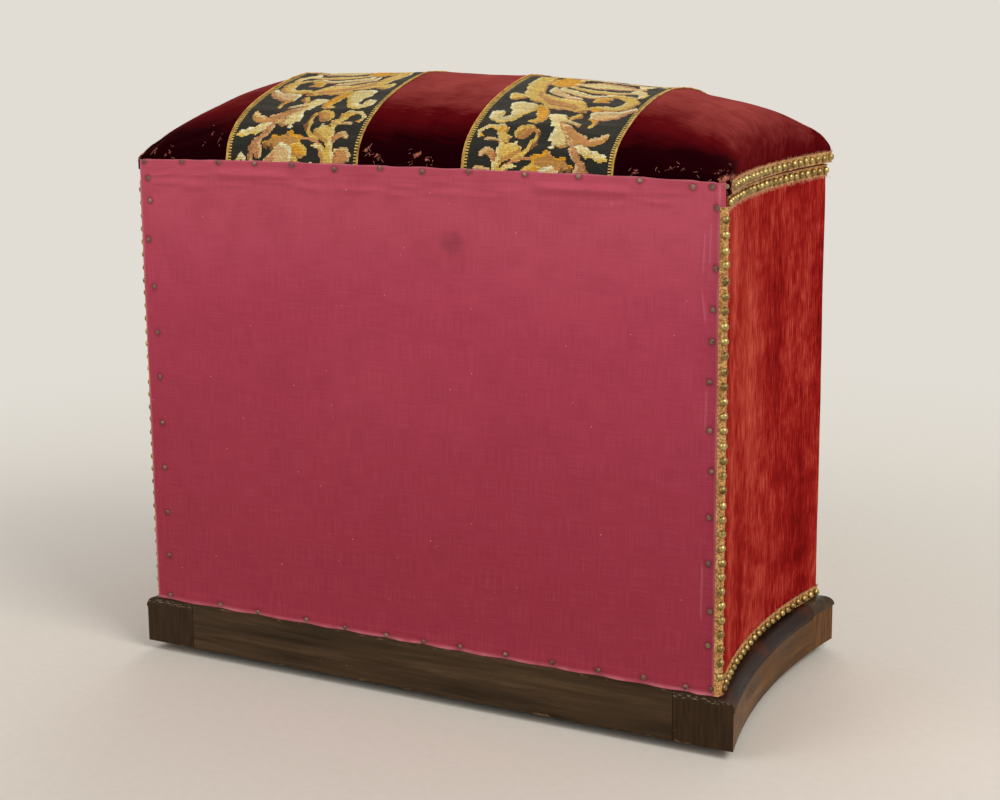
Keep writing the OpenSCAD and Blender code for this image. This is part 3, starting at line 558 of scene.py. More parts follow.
def back_cotton():
    """Plain-woven cotton, dyed crimson and faded, with slubs, dust and rust round the tacks. It is painted
    lighter towards the top and darker towards the foot for light from above, and painted with highlights
    along its folds.
    """
    f = Finish("back_cotton", Sheen_Weight=0.18, Sheen_Roughness=0.4, Specular_IOR_Level=0.15, Roughness=0.85)
    f.shader.inputs["Sheen Tint"].default_value = rgb(235, 180, 185)
    cloth = f.on_cloth()
    warp = f.noise(f.on_cloth((1700, 34, 1)), detail=2)
    weft = f.noise(f.on_cloth((34, 1700, 1)), detail=2)
    faded = f.noise(cloth, 3.2, detail=3)
    blotch = f.noise(cloth, 26, detail=4, rough=0.6)
    height = f.axis(cloth, "Y")
    colour = f.ramp(faded, (0.3, rgb(172, 59, 83)), (0.5, rgb(178, 64, 88)), (0.7, rgb(184, 70, 93)))
    # Mostly painted light and shade, with some fading: darker towards the foot and lighter towards the top,
    # as light falls from above
    colour = f.mix(f.level(height, 0.03, 0.4, 0.85, 0.0), colour, rgb(152, 45, 64))
    colour = f.tint(colour, height, 0.3, 0.45, 0.55, rgb(200, 90, 110))
    colour = f.tint(colour, blotch, 0.4, 0.7, 0.2, rgb(140, 42, 60))
    weave = f.plus(f.times(warp, 0.5), f.times(weft, 0.5))
    colour = f.tint(colour, weave, 0.48, 0.64, 0.15, rgb(206, 108, 124))
    colour = f.tint(colour, weave, 0.5, 0.36, 0.15, rgb(112, 30, 46))
    specks = f.level(f.cells(cloth, 75), 0.05, 0.03)
    some = f.level(f.noise(cloth, 60, detail=0), 0.53, 0.57)
    colour = f.mix(f.times(f.times(specks, some), 0.7), colour, rgb(226, 170, 172))
    colour = f.mix(f.times(f.painted("rust"), 0.8), colour, rgb(82, 38, 38))
    # Painted highlights along the folded edges and creases
    colour = f.mix(f.times(f.painted("pale"), 0.6), colour, rgb(222, 140, 152))
    threads = f.bump(weave, 0.4, 0.12)
    return f.done(colour, normal=f.bump(f.noise(cloth, 95, detail=3), 0.12, 0.6, threads))


def gold_thread(name, bright, body, dark, strand=900.0, metal=0.25, rough=0.5, loops=0):
    """Gilt and silk thread, tarnished in patches, with painted shade in the hollows between its strands and
    loops.
    """
    f = Finish(name, Metallic=metal, Sheen_Weight=0.15, Specular_IOR_Level=0.35)
    spot = f.place()
    strands = f.noise(f.place((strand, strand, strand)), detail=2)
    tarnish = f.noise(spot, 95, detail=4, rough=0.65)
    colour = f.ramp(tarnish, (0.32, dark), (0.5, body), (0.7, bright))
    if loops:
        gaps = f.cells(spot, loops)
        # Painted shade in the gaps between the loops
        colour = f.tint(colour, gaps, 0.44, 0.66, 0.85, rgb(74, 42, 20))
        strands = f.calc("SUBTRACT", strands, gaps)
    # Painted shade between the strands
    colour = f.mix(f.level(strands, 0.35, 0.65, 0.45, 0.0), colour, dark)
    return f.done(colour, f.level(tarnish, 0.3, 0.7, rough + 0.2, rough - 0.1), f.bump(strands, 0.6, 0.2))


def old_metal(name, bright, body, dark, metal=1.0, rough=(0.22, 0.5), grime=160.0):
    """Metal, brighter and darker in patches, and duller where it is darker."""
    f = Finish(name, Metallic=metal)
    spot = f.place()
    patches = f.noise(spot, grime, detail=4, rough=0.6)
    fine = f.noise(spot, 1400, detail=3)
    colour = f.ramp(patches, (0.34, dark), (0.52, body), (0.68, bright))
    colour = f.tint(colour, fine, 0.55, 0.75, 0.35, dark)
    shine = f.level(patches, 0.35, 0.65, rough[1], rough[0])
    return f.done(colour, shine, f.bump(fine, 0.25, 0.12, f.bump(patches, 0.2, 0.3)))


def ebonised(name, along, dark, body, worn, rough, gloss):
    """Dark stained and polished wood: open grain along one axis, rubbed pale on its edges."""
    f = Finish(name, Coat_Weight=gloss, Coat_Roughness=0.25, Specular_IOR_Level=0.18)
    f.shader.inputs["Coat Tint"].default_value = rgb(196, 150, 96)
    f.shader.inputs["Specular Tint"].default_value = rgb(214, 168, 112)
    stretch = {"X": (5, 95, 95), "Y": (95, 5, 95)}[along]
    grain = f.noise(f.place(stretch), detail=6, rough=0.62, twist=0.3)
    pores = f.noise(f.place(tuple(v * 14 for v in stretch)), detail=3)
    cloudy = f.noise(f.place(), 13, detail=4)
    colour = f.ramp(grain, (0.34, dark), (0.52, body), (0.72, worn))
    colour = f.tint(colour, cloudy, 0.42, 0.66, 0.55, body)
    colour = f.tint(colour, pores, 0.6, 0.7, 0.5, dark)
    height = f.axis(f.place(), "Z")
    edges = f.level(height, 0.0125, 0.0092)
    if along == "Y":
        colour = side_rail(f, colour, cloudy, height)
    else:
        colour = cross_rail(f, colour, height)
        edges = f.calc("MAXIMUM", edges, f.band(height, 0.0528, 0.0546, 0.0553, 0.0559))
    chips = f.noise(f.place((90, 90, 260)), detail=4, rough=0.7)
    chips = f.level(f.plus(chips, f.times(edges, 0.11)), 0.68, 0.76)
    if along == "Y":
        chips = f.times(chips, f.level(height, 0.047, 0.044))
    colour = f.mix(f.times(chips, 0.7), colour, rgb(140, 104, 70))
    shine = f.plus(f.level(cloudy, 0.3, 0.7, rough[0], rough[1]), f.times(chips, 0.2))
    return f.done(colour, shine, f.bump(pores, 0.25, 0.15, f.bump(grain, 0.25, 0.5)))


def side_rail(f, colour, cloudy, height):
    """A side rail's colours: its dark polished roll, a painted shadow line below it and its end grain at the
    back.
    """
    stained = f.ramp(cloudy, (0.4, rgb(14, 6, 7)), (0.58, rgb(28, 12, 11)), (0.72, rgb(74, 32, 22)))
    colour = f.mix(f.level(height, 0.0452, 0.0464), colour, stained)
    # Painted shadow line under the roll
    colour = f.mix(f.band(height, 0.0412, 0.0432, 0.0452, 0.0462), colour, rgb(10, 6, 5))
    fibres = f.noise(f.place((380, 150, 34)), detail=4)
    end_grain = f.ramp(fibres, (0.35, rgb(46, 34, 24)), (0.65, rgb(61, 46, 33)))
    marks = f.level(f.noise(f.place((210, 210, 800)), detail=4), 0.52, 0.6)
    scuffs = f.times(f.band(height, 0.0495, 0.0512, 0.0536, 0.0546), marks)
    end_grain = f.mix(f.times(scuffs, 0.6), end_grain, rgb(150, 140, 124))
    return f.mix(f.level(f.axis(f.place(), "Y"), 0.1524, 0.1529), colour, end_grain)


def cross_rail(f, colour, height):
    """The back and front rails' own colours: the front one's end grain, and the seams at the back."""
    across = f.calc("ABSOLUTE", f.axis(f.place(), "X"))
    facing = f.calc("ABSOLUTE", f.axis(f.add("NewGeometry").outputs["Normal"], "X"))
    fibres = f.noise(f.place((150, 380, 34)), detail=4)
    end_grain = f.ramp(fibres, (0.35, rgb(72, 46, 26)), (0.65, rgb(116, 76, 41)))
    colour = f.mix(f.times(f.level(facing, 0.8, 0.9), f.level(height, 0.0455, 0.045)), colour, end_grain)
    seam = f.level(f.calc("ABSOLUTE", f.calc("SUBTRACT", across, 0.258)), 0.0009, 0.0003)
    seam = f.times(seam, f.level(f.axis(f.place(), "Y"), 0.15, 0.152))
    return f.mix(seam, colour, rgb(8, 6, 5))


def pine(name, along, pale, body, dark):
    """Plain softwood with its growth rings drawn out along one axis."""
    f = Finish(name, Specular_IOR_Level=0.25)
    stretch = {"X": (2.4, 42, 42), "Y": (42, 2.4, 42), "Z": (42, 42, 2.4)}[along]
    rings = f.noise(f.place(stretch), detail=5, rough=0.6, twist=1.4)
    fibre = f.noise(f.place(tuple(v * 22 for v in stretch)), detail=2)
    dirt = f.noise(f.place(), 17, detail=4)
    colour = f.ramp(rings, (0.3, pale), (0.5, body), (0.62, dark), (0.7, body))
    colour = f.tint(colour, fibre, 0.5, 0.75, 0.35, dark)
    colour = f.tint(colour, dirt, 0.5, 0.75, 0.4, rgb(96, 72, 48))
    return f.done(colour, f.level(fibre, 0.3, 0.7, 0.6, 0.8), f.bump(fibre, 0.3, 0.3))


def woven(name, pale, body, dark, thread=1400.0, stain=rgb(120, 96, 66)):
    """Plain cotton or linen in its natural colour, a little stained."""
    f = Finish(name, Sheen_Weight=0.15, Specular_IOR_Level=0.15, Roughness=0.85)
    one = f.noise(f.place((thread, 20, thread)), detail=2)
    two = f.noise(f.place((20, thread, 20)), detail=2)
    weave = f.plus(f.times(one, 0.5), f.times(two, 0.5))
    age = f.noise(f.place(), 9, detail=5, rough=0.6)
    colour = f.ramp(weave, (0.36, dark), (0.5, body), (0.64, pale))
    colour = f.tint(colour, age, 0.5, 0.72, 0.45, stain)
    return f.done(colour, normal=f.bump(weave, 0.4, 0.25))


FINISHES = {
    "lid_velvet": velvet(
        "lid_velvet", rgb(26, 0, 5), rgb(92, 8, 14), rgb(174, 78, 74), rgb(200, 118, 100), 0.1,
        rgb(220, 110, 105), (30, 700, 1), (8, 50, 1), (0.15, 0.05, 0.14, 0.42), turn=0.16, crush=34.0),
    "side_velvet": velvet(
        "side_velvet", rgb(84, 6, 9), rgb(156, 28, 27), rgb(216, 96, 78), rgb(206, 104, 80), 0.07,
        rgb(230, 130, 105), (620, 44, 1), (110, 6, 1), (0.5, 0.12, 0.22, 0.32), crush=44.0),
    "needlework": needlework(),
    "back_cotton": back_cotton(),
    "gold_cord": gold_thread("gold_cord", rgb(240, 204, 116), rgb(214, 166, 82), rgb(140, 94, 42), metal=0.1),
    "gold_braid": gold_thread(
        "gold_braid", rgb(252, 220, 150), rgb(238, 192, 112), rgb(184, 128, 66), metal=0.05, loops=620),
    "loose_thread": gold_thread(
        "loose_thread", rgb(240, 200, 164), rgb(222, 160, 122), rgb(186, 112, 78), metal=0.0, rough=0.7),
    "nail_brass": old_metal(
        "nail_brass", rgb(208, 188, 126), rgb(164, 141, 86), rgb(102, 80, 47), rough=(0.33, 0.46),
        grime=120.0),
    "tack_steel": old_metal(
        "tack_steel", rgb(160, 130, 106), rgb(128, 100, 80), rgb(80, 58, 47), 0.4, (0.45, 0.65)),
    "plinth_x": ebonised(
        "plinth_across", "X", rgb(41, 33, 24), rgb(67, 53, 39), rgb(94, 73, 53), (0.42, 0.62), 0.04),
    # The side rails are the same stained wood as the back and front rails, with painted light: lighter,
    # warmer colours for the light and the floor's reflection on their faces
    "plinth_y": ebonised(
        "plinth_along_painted_light", "Y", rgb(54, 33, 14), rgb(96, 62, 26), rgb(138, 98, 48), (0.36, 0.52), 0.04),
    "pine_x": pine("pine_across", "X", rgb(206, 166, 112), rgb(184, 140, 88), rgb(140, 96, 56)),
    "pine_y": pine("pine_along", "Y", rgb(206, 166, 112), rgb(184, 140, 88), rgb(140, 96, 56)),
    "pine_z": pine("pine_upright", "Z", rgb(200, 158, 106), rgb(176, 132, 82), rgb(132, 90, 52)),
    "lining": woven("lining_cotton", rgb(226, 212, 176), rgb(206, 188, 148), rgb(168, 146, 106)),
    "calico": woven("calico", rgb(224, 214, 190), rgb(204, 192, 164), rgb(170, 156, 126)),
    "hinge_brass": old_metal("hinge_brass", rgb(196, 164, 96), rgb(160, 126, 66), rgb(92, 70, 38)),
    "pin_steel": old_metal("pin_steel", rgb(170, 168, 162), rgb(126, 122, 116), rgb(70, 60, 52)),
    "castor_brass": old_metal("castor_brass", rgb(176, 142, 78), rgb(126, 98, 54), rgb(66, 50, 32)),
    "castor_wheel": old_metal(
        "castor_wheel", rgb(112, 84, 52), rgb(84, 60, 38), rgb(44, 32, 24), 0.35, (0.34, 0.55)),
}

FRAME_FINISHES = {
    "plinth_x": ["plinth_back_rail", "plinth_front_rail"],
    "plinth_y": ["plinth_left_rail", "plinth_right_rail"],
    "pine_x": ["castor_blocks", "floor_board", "top_rail_back", "top_rail_front", "lid_board"],
    "pine_y": ["top_rail_left", "top_rail_right"],
    "pine_z": [n for n in NODES if n.startswith(("post_", "panel_"))],
    "lining": ["lining_back", "lining_front", "lining_left", "lining_right"],
    "hinge_brass": ["hinge_base_leaves", "hinge_lid_leaves"],
    "pin_steel": ["hinge_pins"],
    "castor_brass": ["castor_plates"] + [n for n in NODES if n.startswith("castor_fork")],
    "castor_wheel": [n for n in NODES if n.startswith("castor_wheel")],
}


def dress_frame():
    """Gives the CAD nodes that stay in view their own finishes."""
    for finish, names in FRAME_FINISHES.items():
        for name in names:
            materials = NODES[name].data.materials
            materials.clear()
            materials.append(FINISHES[finish])


# ---------------------------------------------------------------- the needlework's drawing

GROUND, CREAM, PALE, YELLOW, GOLD, OCHRE = range(6)
PEACH, PINK, TAN, BROWN, PALE_PINK, ROSE = range(6, 12)
WOOL = np.array([
    (44, 44, 40), (236, 216, 150), (246, 236, 190), (228, 194, 98), (230, 168, 48), (198, 146, 78),
    (208, 150, 92), (206, 148, 100), (184, 128, 76), (142, 98, 56), (230, 196, 138), (188, 122, 76),
], float)
PERIOD_ROWS = 118  # stitches after which the scroll runs back, mirrored

# Each leaf, stem or flower of the scroll: its wool, the paler wool along its upper left edge, the darker
# along its lower right edge, and its outline in mm from the strip's inner edge and up from its foot
SCROLL = [
    (TAN, PEACH, BROWN, [(36, 24), (42, 28), (50, 33), (58, 36), (66, 38), (72, 38), (72, 34), (64, 33),
        (56, 32), (48, 29), (40, 25)]),
    (PINK, PALE_PINK, TAN, [(81, 84), (88, 78), (95, 70), (101, 60), (104, 54), (108, 50), (108, 44),
        (113, 38), (117, 30), (120, 22), (121, 10), (119, 0), (114, 0), (115, 10), (114, 17), (112, 12),
        (108, 13), (106, 17), (107, 24), (109, 30), (107, 35), (103, 38), (101, 44), (98, 50), (95, 57),
        (90, 64), (85, 72), (80, 78)]),
    (OCHRE, GOLD, BROWN, [(66, 30), (66, 36), (70, 38), (74, 38), (76, 42), (79, 44), (83, 42), (85, 38),
        (90, 37), (95, 38), (99, 36), (101, 31), (106, 29), (106, 25), (101, 22), (97, 24), (94, 18),
        (80, 20)]),
    (GOLD, YELLOW, OCHRE, [(56, 18), (60, 26), (64, 29), (72, 29), (76, 24), (73, 16), (66, 14), (59, 16)]),
    (OCHRE, YELLOW, TAN, [(62, 8), (68, 14), (76, 15), (80, 0), (66, 0), (63, 4)]),
    (PALE_PINK, PALE, PINK, [(75, 25), (80, 28), (86, 28), (94, 22), (103, 12), (111, 5), (116, 0), (79, 0),
        (74, 15)]),
    (PINK, PALE_PINK, ROSE, [(90, 22), (96, 18), (103, 11), (110, 5), (114, 0), (98, 0), (93, 9), (90, 15)]),
    (YELLOW, CREAM, OCHRE, [(44, 0), (46, 5), (50, 8), (51, 11), (54, 8), (57, 3), (57, 0)]),
    (PEACH, PALE_PINK, TAN, [(17, 52), (21, 56), (26, 56), (31, 53), (33, 46), (29, 50), (24, 51), (19, 50)]),
    (PEACH, PALE_PINK, ROSE, [(14, 36.7), (17, 40.5), (22, 43), (28, 42), (32, 37), (31, 29), (27, 34),
        (22, 36), (17, 35)]),
    (PEACH, PALE_PINK, ROSE, [(8.5, 17.5), (10, 23), (14, 25), (22, 25), (27, 21), (28, 8), (22, 8), (17, 7),
        (15, 12), (10, 13)]),
    (PEACH, PALE_PINK, TAN, [(19, 3), (24, 4), (28, 0), (20, 0)]),
    (YELLOW, CREAM, OCHRE, [(28.5, 0), (27.7, 20), (29.3, 28), (31.8, 37), (31.8, 52), (27.7, 58), (27, 64),
        (27, 72), (31, 73), (36, 65), (36, 60), (41.8, 58), (41, 52), (37.7, 47), (47.7, 52), (51, 47),
        (55, 43), (53.5, 38), (46, 33), (39, 30), (36, 25), (46, 28), (51.8, 26), (47.7, 22.5), (44, 21.7),
        (42.7, 17.5), (40, 15), (39.7, 8), (39.7, 0)]),
    (YELLOW, CREAM, GOLD, [(30, 72), (24, 73), (16, 72), (10, 68), (7, 62), (9, 56), (13, 55), (16, 58),
        (12, 60), (13, 65), (18, 68), (24, 66), (28, 60)]),
    (OCHRE, YELLOW, BROWN, [(50, 72), (57.7, 72), (66, 67), (68.5, 55), (65, 43), (57.7, 37), (46, 32),
        (56, 41.7), (60, 46.7), (60, 52), (62.7, 58), (61.8, 65), (57, 68)]),
    (OCHRE, YELLOW, TAN, [(51, 72.5), (57, 70), (59.5, 64), (57, 58), (51, 55.5), (45, 58), (42.5, 64),
        (45, 70)]),
    (CREAM, PALE, OCHRE, [(64, 92), (68, 96), (76, 97), (82, 93), (86, 88), (92, 84), (99, 80), (100, 76),
        (94, 78), (88, 80), (83, 80), (86, 72), (92, 64), (95, 58), (96, 50), (92, 46), (87, 49), (84, 45),
        (80, 48), (82, 54), (77, 56), (76, 62), (78, 70), (73, 76), (70, 84), (65, 88)]),
    (PEACH, PALE_PINK, OCHRE, [(84, 78), (90, 77), (97, 72), (104, 66), (110, 63), (113, 60), (118, 62),
        (124, 63), (127, 67), (130, 69), (132, 63), (130, 56), (124, 52), (116, 50), (108, 52), (101, 55),
        (95, 62), (89, 70)]),
    (CREAM, PALE, YELLOW, [(104, 52), (110, 52), (115, 49), (119, 46), (126, 45), (131, 42), (136, 39),
        (137, 35), (133, 33), (128, 34), (124, 37), (118, 37), (113, 41), (109, 44)]),
    (CREAM, PALE, YELLOW, [(123, 12), (125, 16), (129, 17), (132, 14), (135, 9), (135, 0), (129, 0),
        (131, 6), (129, 10), (126, 9), (123, 9)]),
    (GOLD, YELLOW, OCHRE, [(46, 112), (52, 110), (58, 106), (62, 98), (63, 92), (66, 86), (65, 80), (60, 76),
        (54, 77), (49, 80), (54, 84), (56, 88), (54, 94), (51, 100), (48, 106)]),
    (CREAM, PALE, YELLOW, [(22, 113), (27, 117), (34, 116), (42, 115), (46, 106), (45, 98), (41, 90),
        (37, 82), (32, 77), (24, 75), (16, 77), (11, 82), (9, 87), (12, 92), (18, 94), (23, 91), (22, 86),
        (25, 87), (28.5, 92), (28.5, 98), (23.5, 105)]),
    (YELLOW, CREAM, PEACH, [(29, 177), (32, 165), (36, 149), (41, 140), (51, 134), (63, 130), (79, 129),
        (84, 126), (96, 104), (84, 106), (72, 106), (60, 108), (50, 115), (42, 120), (33, 124), (27, 129),
        (23, 137), (21, 147), (16, 167), (17, 177)]),
    (PEACH, YELLOW, TAN, [(60, 124), (72, 122), (82, 114), (90, 107), (80, 110), (68, 112), (56, 117),
        (46, 124), (37, 133), (31, 146), (34, 146), (42, 134), (50, 128)]),
    (YELLOW, CREAM, OCHRE, [(12, 129), (14, 135), (18, 134), (23, 132), (29, 129), (26, 125), (21, 121),
        (14, 122)]),
    (YELLOW, CREAM, OCHRE, [(99, 152), (112, 150), (124, 146), (132, 138), (134, 128), (132, 118),
        (126, 112), (116, 109), (104, 110), (96, 112), (100, 118), (110, 119), (118, 120), (122, 125),
        (123, 132), (119, 139), (112, 142), (106, 143)]),
    (GOLD, YELLOW, OCHRE, [(94, 138), (98, 143), (104, 142), (107, 138), (103, 134), (106, 130), (100, 128),
        (94, 130)]),
    (GOLD, YELLOW, TAN, [(85, 86), (92, 90), (96, 96), (90, 102), (84, 106), (88, 110), (96, 110),
        (103, 106), (104, 98), (104, 92), (108, 84), (108, 74), (112, 78), (115, 84), (113, 90), (109, 96),
        (106, 102), (108, 110), (104, 116), (96, 116)]),
    (PALE_PINK, PALE, PINK, [(103, 104), (110, 107), (122, 108), (132, 113), (138, 118), (138, 112),
        (134, 103), (125, 96), (115, 91), (108, 92), (104, 97)]),
    (GOLD, YELLOW, OCHRE, [(36, 177), (37, 169), (43, 163), (52, 163), (59, 169), (60, 177)]),
    (CREAM, PALE, PINK, [(60, 177), (68, 171), (82, 168), (98, 168), (112, 171), (122, 177)]),
    (YELLOW, CREAM, OCHRE, [(56, 169), (64, 164), (78, 161), (92, 161), (104, 160), (114, 162), (124, 166),
        (118, 158), (106, 153), (92, 152), (78, 154), (66, 158), (57, 163)]),
    (CREAM, PALE, PINK, [(49, 162), (58, 156), (70, 150), (82, 147), (92, 146), (102, 149), (96, 141),
        (86, 138), (74, 140), (62, 146), (52, 153)]),
    (PALE_PINK, PALE, PEACH, [(43, 160), (50, 152), (58, 145), (68, 138), (80, 134), (72, 131), (60, 135),
        (49, 143), (42, 152)]),
    (CREAM, PALE, YELLOW, [(118, 172), (126, 168), (132, 160), (134, 150), (130, 144), (128, 154),
        (122, 162), (116, 166)]),
]


def closed_curve(outline, per_span=6):
    """A smooth closed curve through the points of an outline."""
    p = np.asarray(outline, float)
    before, after, last = np.roll(p, 1, 0), np.roll(p, -1, 0), np.roll(p, -2, 0)
    spans = []
    for k in range(per_span):
        u = k / per_span
        spans.append(0.5 * (
            2 * p + (after - before) * u + (2 * before - 5 * p + 4 * after - last) * u ** 2
            + (3 * p - before - 3 * after + last) * u ** 3
        ))
    return np.stack(spans, 1).reshape(-1, 2)


def inside(outline, s, v):
    """Which of many places are inside a closed outline."""
    hit = np.zeros(s.shape, bool)
    for (s0, v0), (s1, v1) in zip(outline, np.roll(outline, -1, 0)):
        if v0 != v1:
            hit ^= ((v0 > v) != (v1 > v)) & (s < s0 + (v - v0) * (s1 - s0) / (v1 - v0))
    return hit


def shifted(mask, cols, rows):
    """A mask moved by whole stitches."""
    moved = np.zeros_like(mask)
    n, m = mask.shape
    moved[max(0, cols):n + min(0, cols), max(0, rows):m + min(0, rows)] = \
        mask[max(0, -cols):n + min(0, -cols), max(0, -rows):m + min(0, -rows)]
    return moved


def draw_scroll():
    """Wool of each stitch of one length of the scroll, as columns across and rows up."""
    s, v = np.meshgrid(
        (np.arange(STRIP_COLS) + 0.5) * STITCH, (np.arange(PERIOD_ROWS) + 0.5) * STITCH, indexing="ij")
    wool = np.full(s.shape, GROUND)
    lobed_s, lobed_v = s + 1.5 * soft_noise(s, v, 4.5, 15), v + 1.5 * soft_noise(s, v, 4.5, 16)
    crest = v > 92  # above this the leaves are a stitch fuller
    for base, pale, dark, outline in SCROLL:
        leaf = inside(closed_curve(outline), lobed_s, lobed_v)
        leaf |= crest & (shifted(leaf, 1, 0) | shifted(leaf, -1, 0) | shifted(leaf, 0, 1))
        wool[leaf] = base
        wide = np.pad(leaf, ((0, 0), (2, 2)), mode="symmetric")
        wool[leaf & ~shifted(wide, -2, 2)[:, 2:-2]] = dark
        wool[leaf & ~shifted(wide, 2, -2)[:, 2:-2]] = pale
    return wool


SCROLL_WOOL = draw_scroll()


def stitch_colours(rows, offset, seed):
    """Colour of every stitch of a strip, with its saw-toothed borders and the unevenness of old wool."""
    chance = np.random.default_rng(seed)
    row = np.arange(rows)
    turn = (row + offset) % (2 * PERIOD_ROWS)
    wool = SCROLL_WOOL[:, np.minimum(turn, 2 * PERIOD_ROWS - 1 - turn)].copy()
    tooth = np.where(row % 2 == 0, 3, 1)
    col = np.arange(STRIP_COLS)[:, None]
    border = (col < tooth) | (col >= STRIP_COLS - tooth)
    wool[border] = YELLOW
    colour = WOOL[wool]
    uneven = 1 + 0.055 * chance.standard_normal(wool.shape) + 0.03 * chance.standard_normal(rows)[None, :]
    uneven += 0.05 * soft_noise(col * STITCH, row[None, :] * STITCH, 24, seed + 1)
    colour = np.clip(colour * uneven[..., None], 0, 255) / 255
    return np.where(colour <= 0.04045, colour / 12.92, ((colour + 0.055) / 1.055) ** 2.4)


# ---------------------------------------------------------------- covers

def cover(node, grid, normals, uv, finish, body, paint=(), stitches=None, weld=0.0):
    """A cover from a grid of points on its outer face. Its edges turn inwards where it was cut."""
    n, m = grid.shape[:2]
    loop = edge_loop(n, m)
    outer, flat_uv = grid.reshape(-1, 3), uv.reshape(-1, 2)
    rim = outer[loop] - normals.reshape(-1, 3)[loop] * RIM_RETURN
    faces = grid_quads(n, m).tolist() + loop_faces(loop, n * m + np.arange(len(loop))).tolist()
    mesh = build_mesh(
        "cover_" + node, np.concatenate([outer, rim]), faces, np.concatenate([flat_uv, flat_uv[loop]]),
        closed=not weld)
    for kind, values in dict(paint).items():
        paint_points(mesh, kind, np.concatenate([values.reshape(-1), values.reshape(-1)[loop]]))
    if stitches is not None:
        paint_stitches(mesh, stitches, n, m)
    if weld:
        mend(mesh, weld)
    declare_cover(set_piece(mesh, finish, body, node), grid)


def declare_cover(piece, grid):
    """Works out what size the cover was cut to: its own surface, less the stretch over the stuffing."""
    stretch = 1.03
    wide = max(lengths(grid[:, j])[-1] for j in range(0, grid.shape[1], 8)) / stretch
    long = max(lengths(grid[i])[-1] for i in range(0, grid.shape[0], 4)) / stretch
    one = grid[1:, :-1] - grid[:-1, :-1]
    two = grid[:-1, 1:] - grid[:-1, :-1]
    area = float(np.linalg.norm(np.cross(one, two), axis=-1).sum()) / stretch ** 2
    area = min(area, wide * long)


def paint_stitches(mesh, colours, n, m):
    """One colour for each stitch, on the corners of its face. The turned edge takes the ground's."""
    layer = mesh.color_attributes.new("stitches", "FLOAT_COLOR", "CORNER")
    per_face = np.tile(np.array(rgb(54, 52, 50)), (len(mesh.polygons), 1))
    count = (n - 1) * (m - 1)
    per_face[:count, :3] = colours.reshape(-1, 3)
    layer.data.foreach_set("color", np.repeat(per_face, 4, axis=0).astype(np.float32).ravel())


# How far the covers reach below the crown's foot, and how finely it is measured out
FRONT_DROP, BACK_DROP = CROWN_Z - LID_Z - FIT, CROWN_Z - FLAP_Z
ROW_SAMPLES, COL_SAMPLES = 4001, 2001


def dome_rows(step):
    """Share of the depth and drop below the crown's foot of each row, even over the middle of a strip."""
    share = -np.cos(np.linspace(0, math.pi, ROW_SAMPLES))
    over_crown = lengths(crown_point((STRIP_IN + STRIP_OUT) / 2, share))
    place = np.concatenate([[0], over_crown + FRONT_DROP, [FRONT_DROP + over_crown[-1] + BACK_DROP]])
    share = np.concatenate([[-1], share, [1]])
    drop = np.concatenate([[FRONT_DROP], np.zeros(ROW_SAMPLES), [BACK_DROP]])
    even = np.linspace(0, place[-1], int(round(place[-1] / step)) + 1)
    return np.interp(even, place, share), np.interp(even, place, drop), even


def outer_cols(step):
    """Place of each column from a strip to the lid's side, evenly spaced over the crown, then its drop."""
    x = STRIP_OUT + (LID_HALF_W - STRIP_OUT) * np.sin(np.linspace(0, math.pi / 2, COL_SAMPLES))
    over_crown = lengths(crown_point(x, 0.0))
    place = np.append(over_crown, over_crown[-1] + FRONT_DROP)
    x, drop = np.append(x, LID_HALF_W), np.append(np.zeros(COL_SAMPLES), FRONT_DROP)
    even = np.linspace(0, place[-1], int(round(place[-1] / step)) + 1)
    return np.interp(even, place, x), np.interp(even, place, drop), even


def dome_grid(cols, col_drop, rows, row_drop):
    """Points on the smooth dome, before it is made soft."""
    x, t = cols[:, None], rows[None, :]
    grid = crown_point(x, t)
    drop = np.maximum(col_drop[:, None], row_drop[None, :])
    foot = np.where(t > 0, BACK_DROP, FRONT_DROP)
    at_back = (rows[None, :] >= 1) & (col_drop[:, None] > 0)
    drop = np.where(at_back, np.minimum(drop, foot), drop)
    grid[..., 2] -= drop
    return grid


